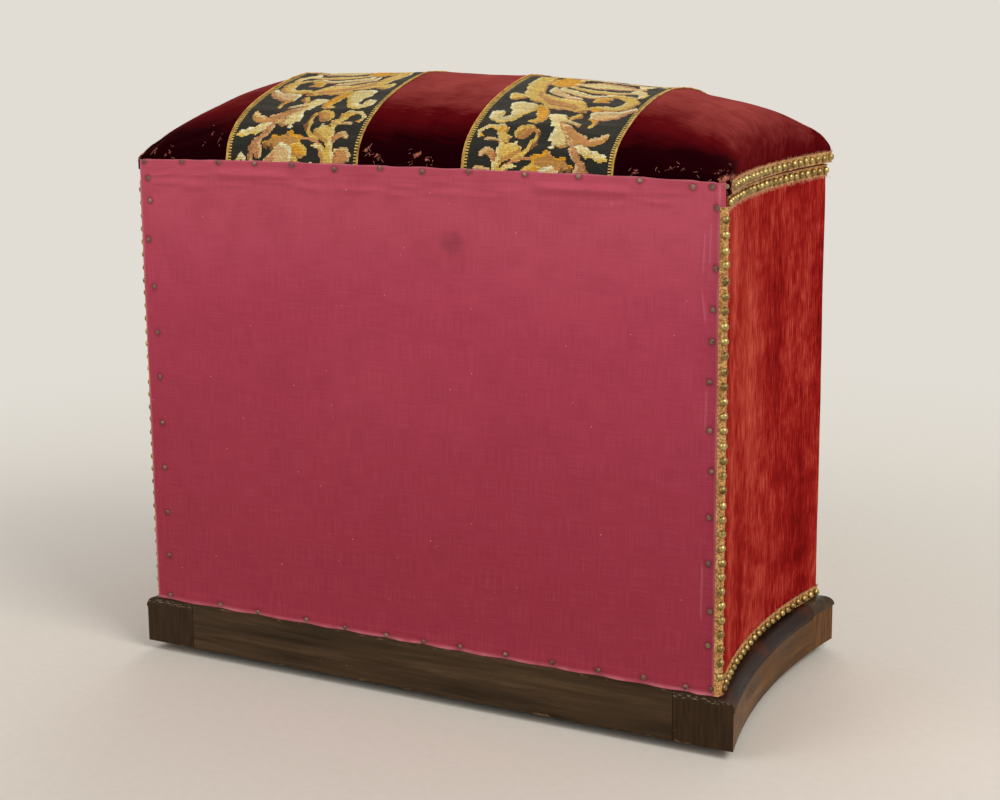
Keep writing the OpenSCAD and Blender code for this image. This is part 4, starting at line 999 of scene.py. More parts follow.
class Swell:
    """How far the lid's covers swell over the stuffing, from a cloth simulation.

    The cloth lies on the crown, is held along its edges and along the four seams, and is pushed out by
    pressure. Only its movement along the crown's normals is kept, and no more than a cap.
    """

    CAP = 3.6  # most that it adds, in mm
    STEPS = 20  # frames that are simulated

    def __init__(self):
        outer = STRIP_OUT + (LID_HALF_W - 0.5 - STRIP_OUT) * np.sin(np.linspace(0, math.pi / 2, 20))
        strip = np.linspace(STRIP_IN, STRIP_OUT, 25)
        middle = np.linspace(-STRIP_IN, STRIP_IN, 19)
        self.cols = np.concatenate([-outer[:0:-1], -strip[:0:-1], middle, strip[1:], outer[1:]])
        self.rows = -np.cos(np.linspace(0, math.pi, 62))
        self.out = np.zeros((len(self.cols), len(self.rows)))
        self.simulate()

    def simulate(self):
        grid = crown_point(self.cols[:, None], self.rows[None, :])
        n, m = grid.shape[:2]
        mesh = build_mesh("swell", grid.reshape(-1, 3), grid_quads(n, m), closed=False)
        sheet = bpy.data.objects.new("swell", mesh)
        scene = bpy.context.scene
        scene.collection.objects.link(sheet)
        seam = np.isclose(np.abs(self.cols), STRIP_IN) | np.isclose(np.abs(self.cols), STRIP_OUT)
        held = np.zeros((n, m), bool)
        held[seam] = True
        held[[0, -1]] = held[:, [0, -1]] = True
        group = sheet.vertex_groups.new(name="held")
        group.add(np.flatnonzero(held.reshape(-1)).tolist(), 1.0, "REPLACE")
        cloth = sheet.modifiers.new("Cloth", "CLOTH")
        cloth.settings.vertex_group_mass = "held"
        cloth.settings.effector_weights.gravity = 0
        cloth.settings.use_pressure = True
        cloth.settings.uniform_pressure_force = 4
        cloth.settings.tension_stiffness = cloth.settings.compression_stiffness = 12
        cloth.settings.bending_stiffness = 0.4
        cloth.point_cache.frame_start, cloth.point_cache.frame_end = 1, self.STEPS
        for frame_number in range(1, self.STEPS + 1):
            scene.frame_set(frame_number)
        grown = sheet.evaluated_get(bpy.context.evaluated_depsgraph_get()).to_mesh()
        moved = np.empty(len(grown.vertices) * 3, np.float32)
        grown.vertices.foreach_get("co", moved)
        moved = moved.reshape(n, m, 3) / MM - grid
        scene.frame_set(1)
        bpy.data.objects.remove(sheet)
        bpy.data.meshes.remove(mesh)
        self.out = self.CAP * np.tanh((moved * crown_normals(grid)).sum(-1) / self.CAP)

    def at(self, x, t):
        """The swell in mm at places across the lid and shares of its depth."""
        x, t = np.broadcast_arrays(np.asarray(x, float), np.asarray(t, float))
        col = np.clip(np.interp(x, self.cols, np.arange(len(self.cols))), 0, len(self.cols) - 1.001)
        row = np.clip(np.interp(t, self.rows, np.arange(len(self.rows))), 0, len(self.rows) - 1.001)
        i, j = col.astype(int), row.astype(int)
        a, b = col - i, row - j
        one, two = (self.out[i, j + k] * (1 - a) + self.out[i + 1, j + k] * a for k in (0, 1))
        return one * (1 - b) + two * b


SWELL = Swell()


def drawn_in(x):
    """1 along the four seams, falling to 0 beside them."""
    return sum(bell(np.abs(x), s, SEAM_REACH) for s in (STRIP_IN, STRIP_OUT))


def soften(points):
    """How far the covers stand off the smooth dome: lumps, seams drawn in, puckers over the nails."""
    x, y, z = points[..., 0], points[..., 1], points[..., 2]
    lumps = 0.9 * soft_noise(x, y, 58, 11) + 0.4 * soft_noise(x, y, 24, 12) + 0.12 * soft_noise(x, y, 9, 13)
    rise = z - CROWN_Z
    along = np.where(np.abs(x) > 270, y, x)
    puckers = 0.5 * np.cos(2 * math.pi * along / NAIL_PITCH) * fade(np.maximum(0, rise - 3), 7)
    back = smooth_step(y, 120, 146)
    puckers = puckers * (1 - back)
    tucks = 0.6 * np.cos(2 * math.pi * x / 46) * back * fade(rise, 14)
    free = smooth_step(rise, 1.5, 9)
    return lumps * smooth_step(rise, 2, 30) - 0.9 * drawn_in(x) * free + (puckers + tucks) * free


# Rubbed places low on the lid's back: x and z in mm, reach across and up, and how bare
LID_RUBS = [
    (46, 520, 5, 4, 0.9), (41, 517, 5, 3, 0.8), (34, 515, 6, 3, 0.8), (24, 512, 6, 3, 0.6),
    (-8, 517, 6, 3.5, 1.0), (-18, 514, 6, 3.5, 1.0), (-2, 512, 4, 3, 0.6), (300, 510, 5, 6, 0.9),
    (284, 512, 6, 5, 0.8), (268, 510, 7, 5, 0.7), (292, 524, 3, 7, 0.7), (-219, 511, 5, 4, 0.8),
    (-249, 513, 7, 3, 0.8), (-262, 512, 6, 3, 0.7), (-275, 513, 5, 3, 0.6), (-297, 506, 7, 5, 1.0),
    (-291, 512, 6, 4, 0.7), (222, 529, 2.5, 7, 0.8), (208, 527, 2.5, 8, 0.8), (266, 518, 8, 2.5, 0.6),
]


def lid_wear(points):
    """Where the lid's velvet is rubbed bare: scratches low on its back, most of them near the corners."""
    x, y, z = points[..., 0], points[..., 1], points[..., 2]
    wear = np.zeros_like(x)
    for at_x, at_z, wide, tall, bare in LID_RUBS:
        slant = (z - at_z) + 0.35 * (x - at_x)
        reach = ((x - at_x) / wide) ** 2 + (slant / tall) ** 2
        wear = np.maximum(wear, bare * np.exp(-reach))
    return wear * smooth_step(y, 110, 135)


def lid_painted_light_and_shade(points):
    """Painted light and shade: dark at the lid's foot, paler towards its crest and on its ends, where light
    falls on them.
    """
    x, y, z = points[..., 0], points[..., 1], points[..., 2]
    rise = smooth_step(z - CROWN_Z, 2, 84) * (0.8 - 0.14 * x / LID_HALF_W)
    end = 0.46 * smooth_step(np.abs(x), 205, 285) * smooth_step(LID_BACK - y, 8, 62)
    return 1 - (1 - rise) * (1 - end)


def make_lid_covers():
    """Five covers over one dome: velvet, needlework, velvet, needlework, velvet."""
    fine_rows, fine_drop, fine_v = dome_rows(STITCH)
    pick = np.append(np.arange(0, len(fine_v) - 1, 2), len(fine_v) - 1)
    rows, row_drop, row_v = fine_rows[pick], fine_drop[pick], fine_v[pick]
    x_out, drop_out, place_out = outer_cols(VELVET_STEP)
    middle = np.linspace(-STRIP_IN, STRIP_IN, 46)
    for name, cols, drop, place, weld in (
        ("lid_velvet_left", -x_out[::-1], drop_out[::-1], -STRIP_OUT - place_out[::-1], 0.05),
        ("lid_velvet_centre", middle, np.zeros(46), middle, 0.0),
        ("lid_velvet_right", x_out, drop_out, STRIP_OUT + place_out, 0.05),
    ):
        grid, normals = soft_dome(cols, drop, rows, row_drop)
        uv = np.stack(np.meshgrid(place, row_v, indexing="ij"), -1)
        # shade: painted light and shade
        paint = {"wear": lid_wear(grid), "shade": lid_painted_light_and_shade(grid)}
        cover(name, grid, normals, uv, "lid_velvet", "lid", paint, weld=weld)
    strip = np.linspace(STRIP_IN, STRIP_OUT, STRIP_COLS + 1)
    for name, cols, offset in (("lid_needlework_left", -strip[::-1], 8), ("lid_needlework_right", strip, 0)):
        grid, normals = soft_dome(cols, np.zeros(len(cols)), fine_rows, fine_drop)
        uv = np.stack(np.meshgrid(np.abs(cols) - STRIP_IN, fine_v[-1] - fine_v, indexing="ij"), -1)
        stitches = stitch_colours(len(fine_rows) - 1, offset, 31)[:, ::-1]
        stitches = stitches[::-1] if offset else stitches
        cover(name, grid, normals, uv, "needlework", "lid", stitches=stitches)


def soft_dome(cols, col_drop, rows, row_drop):
    """A part of the dome with its softness added, and its outward normals."""
    grid = dome_grid(cols, col_drop, rows, row_drop)
    normals = crown_normals(grid)
    flat = np.linalg.norm(normals, axis=-1) < 0.5
    side = np.zeros_like(grid)
    side[..., 0] = np.sign(grid[..., 0])
    normals[flat] = side[flat]
    on_crown = np.maximum(col_drop[:, None], row_drop[None, :]) <= 0
    stand = soften(grid) + SWELL.at(cols[:, None], rows[None, :]) * on_crown
    return grid + normals * stand[..., None], normals


def make_lid_pad():
    """The stuffing: hair under calico, domed on the lid board, just inside the covers."""
    inset = COVER_T + 0.6  # of the stuffing's dome inside the covers
    outer = STRIP_OUT + (LID_HALF_W - STRIP_OUT) * np.sin(np.linspace(0, math.pi / 2, 24))
    cols = np.concatenate([-outer[::-1], np.linspace(-STRIP_OUT, STRIP_OUT, 60)[1:-1], outer])
    share = -np.cos(np.linspace(0, math.pi, 56))
    grid = crown_point(cols[:, None], share[None, :], inset)
    x, y, z = (grid[..., k] for k in range(3))
    x *= 1 - inset / LID_HALF_W
    y[:] = (y - 3) * (1 - inset / 147) + 3
    z += SWELL.at(cols[:, None], share[None, :]) - 1.0 * smooth_step(z, CROWN_Z + 4, CROWN_Z + 30)
    z += 0.6 * soft_noise(x, y, 20, 41) * smooth_step(z, CROWN_Z + 4, CROWN_Z + 20)
    base = grid.copy()
    base[..., 2] = CROWN_Z + 0.1
    mesh = two_faced("lid_pad", grid, base, weld=0.02)
    set_piece(mesh, "calico", "lid", "lid_stuffing", slot="stuffing")


def box_pull(along, height, normal_gap):
    """How far a cover of the box stands off its panel: broad waves, and puckers over the nails."""
    waves = 0.35 * soft_noise(along, height, 90, 51) + 0.18 * soft_noise(along, height, 26, 52)
    top = fade(np.maximum(0, FREE_HIGH - height), 8)
    foot = fade(np.maximum(0, height - FREE_LOW), 8)
    puckers = 0.3 * np.cos(2 * math.pi * along / NAIL_PITCH) * np.maximum(top, foot)
    inner = smooth_step(height, FREE_LOW + 1, FREE_LOW + 15)
    inner = inner * smooth_step(height, FREE_HIGH, FREE_HIGH - 14)
    free = np.maximum(inner, 0.6 * (height > FREE_LOW) * (height < FREE_HIGH))
    return (waves * inner + puckers * free) * normal_gap


def make_box_covers():
    """Velvet on the sides and the middle of the front, needlework between them."""
    step = 3.0
    heights = np.linspace(BOX_Z + FIT, RIM_Z, 146)
    path, outward, place = BOX_PLAN.round_path(0.0, 0.0, step)
    end = np.argmax(path[:, 0] >= -STRIP_OUT)
    share = (-STRIP_OUT - path[end - 1, 0]) / (path[end, 0] - path[end - 1, 0])
    left = np.concatenate([path[:end], [path[end - 1] + share * (path[end] - path[end - 1])]])
    out, left_place = outward[:end + 1], np.append(place[:end], place[end - 1] + share * step)
    wall("side_velvet_left", left, out, left_place, heights)
    mirror = [-1, 1]
    wall("side_velvet_right", left[::-1] * mirror, out[::-1] * mirror, place[-1] - left_place[::-1], heights)

    def on_front(name, along, uv_along, heights, stitches=None):
        """A cover on the hollow front."""
        wall(name, BOX_PLAN.on_front(along, 0.0), BOX_PLAN.front_normal(along), uv_along, heights, stitches)

    arc = BOX_PLAN.front_r * np.arcsin(np.array([STRIP_IN, STRIP_OUT]) / BOX_PLAN.front_r)
    middle = np.linspace(-arc[0], arc[0], 37)
    on_front("front_velvet", middle, middle, heights)
    stitched = np.linspace(BOX_Z + FIT, RIM_Z, int(round((RIM_Z - BOX_Z - FIT) / STITCH)) + 1)
    cols = np.linspace(arc[0], arc[1], STRIP_COLS + 1)
    for side, along, offset in (("left", -cols[::-1], 8), ("right", cols, 0)):
        colours = stitch_colours(len(stitched) - 1, offset, 35)
        on_front(
            "front_needlework_" + side, along, np.abs(along) - arc[0], stitched,
            colours[::-1] if offset else colours)


def wall(name, line, outward, along, heights, stitches=None):
    """An upright cover along a line in plan, of needlework where stitches are given, or else of velvet."""
    n, m = len(line), len(heights)
    grid = np.empty((n, m, 3))
    grid[..., :2] = line[:, None, :]
    grid[..., 2] = heights[None, :]
    normals = np.zeros((n, m, 3))
    normals[..., :2] = outward[:, None, :]
    x, y, z = (grid[..., k] for k in range(3))
    pull = box_pull(along[:, None] * np.ones((1, m)), z, smooth_step(y, 139, 126))
    seams = drawn_in(x) * (y < FRONT_Y + 20) * 0.5
    uv = np.stack(np.meshgrid(along, heights - BOX_Z, indexing="ij"), -1)
    grid = grid + normals * (pull - seams)[..., None]
    if stitches is not None:
        cover(name, grid, normals, uv, "needlework", "box", stitches=stitches)
        return
    x, y, z = (grid[..., k] for k in range(3))
    rubbed = 0.35 * smooth_step(z, 100, 60) + 0.3 * smooth_step(z, 465, 485)
    rubbed += 0.4 * smooth_step(y, 128, 144)
    wear = np.clip(rubbed, 0, 1) * (0.7 + 0.5 * soft_noise(x + y, z, 30, 55))
    # Painted light and shade on the side velvet: paler where light falls on the hollow side, darker where it
    # is in shade, with random streaks
    shade = 0.48 + 0.2 * bell(y, 45, 58) * (0.35 + 0.65 * smooth_step(z, 150, 270))
    shade += 0.24 * bell(y, 104, 26) * bell(z, 445, 50)
    shade -= 0.1 * bell(y, -100, 34) * bell(z, 135, 34)
    shade -= 0.16 * smooth_step(y, 100, 128) * smooth_step(z, 240, 150)
    shade = np.clip(shade + 0.16 * soft_noise(y, z / 5, 34, 56), 0, 1)
    cover(name, grid, normals, uv, "side_velvet", "box", {"wear": wear, "shade": shade})


# ---------------------------------------------------------------- cords, braids and threads

def twisted(parts, path, across, up, length, lay=3.8, strand_r=0.55, offset=0.42, twist=0.0):
    """A cord of two strands laid round each other along a path."""
    angle = 2 * math.pi * length / lay + twist
    for half_turn in (0, math.pi):
        centre = path + offset * (
            np.cos(angle + half_turn)[:, None] * up + np.sin(angle + half_turn)[:, None] * across)
        parts.add(*tube(centre, across, up, strand_r, 7))


CORD_STEP = 0.65  # along a cord, from one ring of its strands to the next
CORD_OUT = 0.75  # from a cover to the middle of its cord


def make_lid_cords():
    """Gold cord over each join of the lid's covers, from under the front braid to the back."""
    parts = Parts()
    low = LID_BRAID_Z + BRAID_W / 2 + CORD_R - CROWN_Z  # over the crown's foot, where the braid ends
    for number, x in enumerate(SEAMS):
        high = float(crown_rise(np.array(x), np.array(0.0)))
        start = (1 - (low / high) ** CROWN_FRONT[1]) ** (1 / CROWN_FRONT[0])
        share = -np.cos(np.linspace(math.acos(start), math.pi, 3000))
        place = lengths(crown_point(x, share))
        even = np.arange(0, place[-1], CORD_STEP)
        share = np.interp(even, place, share)
        grid = crown_point(np.array([x - 1.0, x, x + 1.0])[:, None], share[None, :])
        normals = grid_normals(grid)[1]
        normals[normals[:, 2] < 0] *= -1
        path = grid[1] + normals * (CORD_OUT + soften(grid[1]))[:, None]
        twisted(parts, path, np.tile([1.0, 0.0, 0.0], (len(path), 1)), normals, even, twist=number)
    set_piece(parts.mesh("lid_cords"), "gold_cord", "lid", "lid_edging")


def make_front_cords():
    """Gold cord over each join of the front's covers, between the two braids."""
    parts = Parts()
    height = np.arange(BOTTOM_BRAID_Z + BRAID_W / 2, TOP_BRAID_Z - BRAID_W / 2, 0.7)
    for number, x in enumerate(SEAMS):
        along = BOX_PLAN.front_r * math.asin(x / BOX_PLAN.front_r)
        out = np.append(BOX_PLAN.front_normal(along), 0)
        path = np.column_stack([np.tile(BOX_PLAN.on_front(along, FIT + 0.9), (len(height), 1)), height])
        across, out = (np.tile(v, (len(path), 1)) for v in ([-out[1], out[0], 0], out))
        twisted(parts, path, across, out, height, twist=number)
    set_piece(parts.mesh("front_cords"), "gold_cord", "box", "front_edging")


# Half of the braid's section, from the edge to the middle: share of its half width, and height
GIMP_SECTION = [(1, 0.15), (0.97, 0.7), (0.65, 0.76), (0.3, 0.82), (0, 0.85)]
GIMP_BACK = 0.15  # from the band's edges down to its back
GIMP_HALF, SCALLOP, SCALLOP_PITCH = 4.75, 0.45, 4.2
WAVE, WAVE_PITCH = 3.0, 9.0  # how far to each side the crossing cords go, and over what length
EDGE_CORD_R, WAVE_CORD_R = 0.52, 0.56
BRAID_STEP = 1.05


def gimp(parts, centre, across, out, length, seed):
    """Gold gimp braid: a scalloped band, a cord along each edge and two cords that cross in waves."""
    centre = centre + 0.25 * soft_noise(length, 0 * length, 14, seed)[:, None] * across
    scallop = GIMP_HALF + SCALLOP * np.abs(np.sin(math.pi * length / SCALLOP_PITCH))
    section = [(-share, lift) for share, lift in GIMP_SECTION] + GIMP_SECTION[-2::-1]
    rows = [centre + across * (share * scallop)[:, None] + out * lift for share, lift in section]
    ring = np.stack(rows + [rows[-1] - out * GIMP_BACK, rows[0] - out * GIMP_BACK], 1)
    n, m = ring.shape[:2]
    first = np.arange(n - 1) * m
    closing = np.stack([first + m - 1, first, first + m, first + 2 * m - 1], -1)
    ends = np.arange(m)
    parts.add(ring, grid_quads(n, m), closing, [ends[::-1]], [(n - 1) * m + ends])
    for edge in (-1, 1):
        line = centre + across * (edge * (scallop - 0.35))[:, None] + out * 0.75
        parts.add(*tube(line, across, out, EDGE_CORD_R, 5))
    for phase in (0, math.pi):
        angle = 2 * math.pi * length / WAVE_PITCH + phase
        line = centre + across * (WAVE * np.sin(angle))[:, None]
        line = line + out * (0.92 + 0.22 * np.cos(angle))[:, None]
        parts.add(*tube(line, across, out, WAVE_CORD_R, 5))


def braid_round(name, plan, out, z, back_gap, body, node, seed):
    """A braid round two sides and the front."""
    path, outward, length = plan.round_path(out, back_gap, BRAID_STEP, corner=BRAID_BEND)
    parts = Parts()
    gimp(parts, upright_at(path, z), np.tile(UPRIGHT, (len(path), 1)), upright_at(outward, 0), length, seed)
    set_piece(parts.mesh(name), "gold_braid", body, node)


def upright_at(plan_points, z):
    """Points or directions in plan, with a height or a rise added."""
    return np.column_stack([plan_points, np.broadcast_to(float(z), len(plan_points))])


# The back corners as the braids go round them: their radius, how far they stand past the cloth's inner face,
# and for each side where along the bend the middles of the braid and of its nails are, and how far out the
# nails are. The left braid laps further on to the back than the right one.
CORNER_R, CORNER_OUT = 3.2, 2.2
CORNER_BRAID_AT, CORNER_NAIL_AT = {-1: -2.0, 1: 2.2}, {-1: -2.3, 1: 1.2}
CORNER_NAIL_OUT = {-1: 0.2, 1: 1.2}


def round_corner(side, along, out):
    """Places and normals round a back corner, a length along it from the bend's end towards the front."""
    tilt = math.asin((BACK_Y - FRONT_Y) / 2 / BOX_PLAN.side_r)
    bend = math.pi / 2 + tilt
    middle_y = CLOTH_Y + CORNER_OUT - CORNER_R
    middle_x = HALF_W + (FIT + 0.3 - CORNER_R + (middle_y - BACK_Y) * math.sin(tilt)) / math.cos(tilt)
    along, out = np.asarray(along, float), np.asarray(out, float)
    angle = np.clip(bend + along / CORNER_R, 0, bend)
    normal = np.stack([side * np.sin(angle), np.cos(angle)], -1)
    place = np.array([side * middle_x, middle_y]) + (CORNER_R + out)[..., None] * normal
    to_front = np.maximum(0, along)[..., None] * [-side * math.sin(tilt), -math.cos(tilt)]
    on_back = np.maximum(0, -bend * CORNER_R - along)[..., None] * [-side, 0.0]
    return place + to_front + on_back, normal


def make_braids():
    """The three level braids and the upright one beside each back corner."""
    braid_round("box_top_braid", BOX_PLAN, FIT, TOP_ROW_Z, 4.0, "box", "top_braid", 61)
    braid_round("box_foot_braid", BOX_PLAN, FIT, BOTTOM_BRAID_Z, 4.0, "box", "bottom_braid", 62)
    braid_round("lid_edge_braid", LID_PLAN, 2 * FIT, LID_ROW_Z, LID_BRAID_START, "lid", "lid_braid", 63)
    parts = Parts()
    height = np.arange(BOTTOM_BRAID_Z - BRAID_W / 2 + 0.4, COLUMN_TOP, BRAID_STEP)
    for side in (-1, 1):
        flat = Parts()
        centre = np.column_stack([np.tile([CORNER_BRAID_AT[side], 0.0], (len(height), 1)), height])
        gimp(flat, centre, np.array([[1.0, 0.0, 0.0]]), np.array([[0.0, 1.0, 0.0]]), height, 65 + side)
        points = np.concatenate(flat.points)
        place = round_corner(side, points[:, 0], points[:, 1])[0]
        parts.add(np.column_stack([place, points[:, 2]]), *[[face] for face in flat.faces])
    set_piece(parts.mesh("back_corner_braids"), "gold_braid", "box", "corner_braids")


def loose_threads(parts, roots, ways, outs, length, chance, radius=0.2, spread=0.5):
    """Frayed thread ends: a short bent hair from each root, most of them along its way."""
    count, steps, sides = len(roots), 4, 3
    roots, ways, outs = (np.broadcast_to(np.asarray(v, float), (count, 3)) for v in (roots, ways, outs))
    across = np.cross(ways, outs)
    lean = chance.normal(0, spread, (count, 2))
    way = ways + across * lean[:, :1] + outs * np.abs(lean[:, 1:])
    way /= np.linalg.norm(way, axis=1, keepdims=True)
    size = length * chance.uniform(0.35, 1.0, (count, 1))
    curl = (across * chance.normal(0, 0.4, (count, 1)) + outs * chance.normal(0, 0.2, (count, 1))) * size
    share = np.linspace(0, 1, steps)[None, :, None]
    line = roots[:, None] + (way * size)[:, None] * share + curl[:, None] * share ** 2
    side = np.cross(way, outs)
    side /= np.maximum(np.linalg.norm(side, axis=1, keepdims=True), 1e-6)
    top = np.cross(side, way)
    angle = 2 * math.pi * np.arange(sides)[None, :, None] / sides
    ring = np.cos(angle) * side[:, None] + np.sin(angle) * top[:, None]
    points = line[:, :, None] + (radius * (1 - 0.5 * share))[..., None] * ring[:, None]
    first = np.arange(count)[:, None, None] * steps * sides
    row, k = np.arange(steps - 1)[None, :, None] * sides, np.arange(sides)[None, None, :]
    a, b = first + row + k, first + row + (k + 1) % sides
    quads = np.stack([a, b, b + sides, a + sides], -1).reshape(-1, 4)
    ends = np.arange(count)[:, None] * steps * sides
    parts.add(points, quads, ends + [2, 1, 0], ends + (steps - 1) * sides + [0, 1, 2])


def rub_hairs(parts, chance):
    """Short bare threads that lie on the rubbed places of the lid's back."""
    for at_x, at_z, wide, tall, bare in LID_RUBS:
        count = int(4 * bare)
        x = np.clip(at_x + chance.normal(0, 0.7 * wide, count), 1 - LID_HALF_W, LID_HALF_W - 1)
        rise = np.maximum(2.5, at_z - CROWN_Z + chance.normal(0, 0.7 * tall, count))
        high = crown_rise(x, np.zeros(count))
        share = np.clip(1 - (rise / high) ** CROWN_BACK[1], 0, 1) ** (1 / CROWN_BACK[0])
        roots = crown_point(x, share)
        out = np.tile([0.0, 0.92, 0.38], (count, 1))
        roots = roots + out * (0.3 + soften(roots) + SWELL.at(x, share))[:, None]
        angle = chance.normal(-0.6, 0.9, count)
        ways = np.stack([np.cos(angle), -0.4 * np.sin(angle), np.sin(angle)], -1)
        loose_threads(parts, roots, ways, 0.3 * out, 4.5, chance, radius=0.15, spread=0.2)


def fray_row(parts, plan, out, z, way, length, per_mm, back_gap, chance):
    """Loose threads along one edge of a braid that goes round two sides and the front."""
    path, outward = plan.round_path(out, back_gap, 1 / per_mm, corner=BRAID_BEND)[:2]
    roots = upright_at(path, z)
    roots += chance.uniform(-0.4, 0.4, roots.shape)
    loose_threads(parts, roots, [0, 0, way], upright_at(outward, 0), length, chance)


def make_frays():
    """Frayed edges of the braids, and the torn velvet at the lid's back corners."""
    chance = np.random.default_rng(77)
    half = BRAID_W / 2 - 0.9
    lid, box = Parts(), Parts()
    fray_row(lid, LID_PLAN, 1.0, LID_ROW_Z + half, 1, 3.2, 1.3, LID_BRAID_START, chance)
    fray_row(lid, LID_PLAN, 1.0, LID_ROW_Z - half, -1, 1.8, 0.7, LID_BRAID_START, chance)
    fray_row(box, BOX_PLAN, 0.8, TOP_ROW_Z - half, -1, 4.2, 1.5, 0.6, chance)
    fray_row(box, BOX_PLAN, 0.8, BOTTOM_BRAID_Z + half, 1, 3.0, 1.2, 0.6, chance)
    heights = np.arange(BOTTOM_BRAID_Z + 8, TOP_BRAID_Z - 8, 1.1)
    for side in (-1, 1):
        for edge, length in ((-1, 1.5), (1, 2.4)):
            place, out = round_corner(side, CORNER_BRAID_AT[side] + edge * half, 0.7)
            roots = np.column_stack([np.tile(place, (len(heights), 1)), heights])
            way = side * edge * np.array([out[1], -out[0], 0])
            loose_threads(box, roots, way, [*out, 0], length, chance)
        corner = np.array([side * (LID_HALF_W - 0.5), LID_BACK - 0.6, 0])
        roots = corner + np.column_stack([
            side * chance.uniform(-5, 0.3, 40), chance.uniform(-7, 0.3, 40), chance.uniform(497, 507, 40)])
        loose_threads(lid, roots, [side * 0.1, 0.1, 0.8], [side * 0.7, 0.7, 0], 4.6, chance, spread=0.6)
        turn = np.linspace(-0.4, math.pi + 0.4, 12)[:, None]
        way = np.array([side * 0.9, 0.3, -0.2])
        for loop in range(3):
            middle = np.array([side * (HALF_W - 0.6), BACK_Y - 2 - 2.6 * loop, BOTTOM_BRAID_Z - 4.6])
            line = middle + 2.4 * np.sin(turn) * way + 2.0 * np.cos(turn) * [0, 0.5, 0.85]
            box.add(*tube(line, [0.0, 1.0, 0.0], UPRIGHT, 0.45, 5))
    rub_hairs(lid, chance)
    set_piece(lid.mesh("lid_frayed_threads"), "loose_thread", "lid", slot="gold_braid")
    set_piece(box.mesh("box_frayed_threads"), "loose_thread", "box", slot="gold_braid")


def turned(profile, sides):
    """Points and faces of a small turned head, its axis along Z."""
    profile = np.asarray(profile, float)
    angle = 2 * math.pi * np.arange(sides) / sides
    rings = np.stack([
        profile[1:, :1] * np.cos(angle), profile[1:, :1] * np.sin(angle),
        np.tile(profile[1:, 1:2], (1, sides))], -1)
    points = np.concatenate([[[0, 0, profile[0, 1]]], rings.reshape(-1, 3)])
    k = np.arange(sides)
    fan = [[0, 1 + a, 1 + (a + 1) % sides] for a in k]
    quads = []
    for ring in range(len(profile) - 2):
        a = 1 + ring * sides + k
        b = 1 + ring * sides + (k + 1) % sides
        quads.append(np.stack([a, a + sides, b + sides, b], -1))
    under = [(1 + (len(profile) - 2) * sides + k).tolist()]
    return points, fan, np.concatenate(quads), under


# Profiles of the heads, from the middle outwards and down: radius and height, then the number of sides
NAIL_HEAD = turned([
    (0, 3.9), (1.0, 3.76), (1.95, 3.34), (2.75, 2.66), (3.3, 1.8), (3.6, 0.8), (3.65, 0.0), (3.45, -0.4)], 20)
TACK_HEAD = turned([(0, 0.72), (0.9, 0.66), (1.7, 0.48), (2.15, 0.2), (2.25, 0.0), (2.1, -0.3)], 14)
SMALL_TACK = turned([(0, 0.6), (0.8, 0.54), (1.35, 0.3), (1.5, 0.0), (1.4, -0.3)], 10)


def set_heads(parts, head, places, outs, up, chance, shift=0.0, tilt=0.0, spread=0.0):
    """Copies of a turned head, each set a little out of true."""
    points, *faces = head
    places, up = np.asarray(places, float), np.asarray(up, float)
    for place, out in zip(places, np.broadcast_to(np.asarray(outs, float), places.shape)):
        across = np.cross(up, out)
        out = out + up * chance.normal(0, tilt) + across * chance.normal(0, tilt)
        out /= np.linalg.norm(out)
        across = np.cross(up, out)
        across /= np.linalg.norm(across)
        above = np.cross(out, across)
        place = place + across * chance.normal(0, shift) + above * chance.normal(0, shift)
        size = 1 + chance.normal(0, spread)
        parts.add(place + (points * size) @ np.stack([across, above, out]), *faces)


def nail_row(plan, z, back_gap):
    """Places and outward directions of a row of nails round two sides and the front."""
    def spaced(length, gap):
        """Evenly spaced places along a side or the front, but for a gap at its far end."""
        length -= 2 * NAIL_END
        steps = round((length - gap) / NAIL_PITCH)
        return -length / 2 + np.arange(steps + 1) * (length - gap) / steps

    side, front = spaced(plan.side_len, back_gap), spaced(plan.front_len, 0)
    places = [plan.on_side(s, side, NAIL_OUT) for s in (-1, 1)] + [plan.on_front(front, NAIL_OUT)]
    outs = [plan.side_normal(s, side) for s in (-1, 1)] + [plan.front_normal(front)]
    return upright_at(np.concatenate(places), z), upright_at(np.concatenate(outs), 0)


def make_nails():
    """The domed nails on the braids."""
    chance = np.random.default_rng(71)
    loose = {"shift": 0.28, "tilt": 0.05, "spread": 0.018}
    box, lid = Parts(), Parts()
    for z in (TOP_ROW_Z, BOTTOM_BRAID_Z):
        set_heads(box, NAIL_HEAD, *nail_row(BOX_PLAN, z, 0), UPRIGHT, chance, **loose)
    steps = round((TOP_BRAID_Z - BOTTOM_BRAID_Z) / NAIL_PITCH)
    heights = BOTTOM_BRAID_Z + np.arange(1, steps) * (TOP_BRAID_Z - BOTTOM_BRAID_Z) / steps
    for side in (-1, 1):
        place, out = round_corner(side, CORNER_NAIL_AT[side], CORNER_NAIL_OUT[side])
        places = np.column_stack([np.tile(place, (len(heights), 1)), heights])
        set_heads(box, NAIL_HEAD, places, [*out, 0], UPRIGHT, chance, 0.3, 0.05, 0.018)
    set_piece(box.mesh("box_nail_heads"), "nail_brass", "box", "body_nails")
    set_heads(lid, NAIL_HEAD, *nail_row(LID_PLAN, LID_ROW_Z, LID_BRAID_START), UPRIGHT, chance, **loose)
    set_piece(lid.mesh("lid_nail_heads"), "nail_brass", "lid", "lid_nails")


# ---------------------------------------------------------------- back cloth

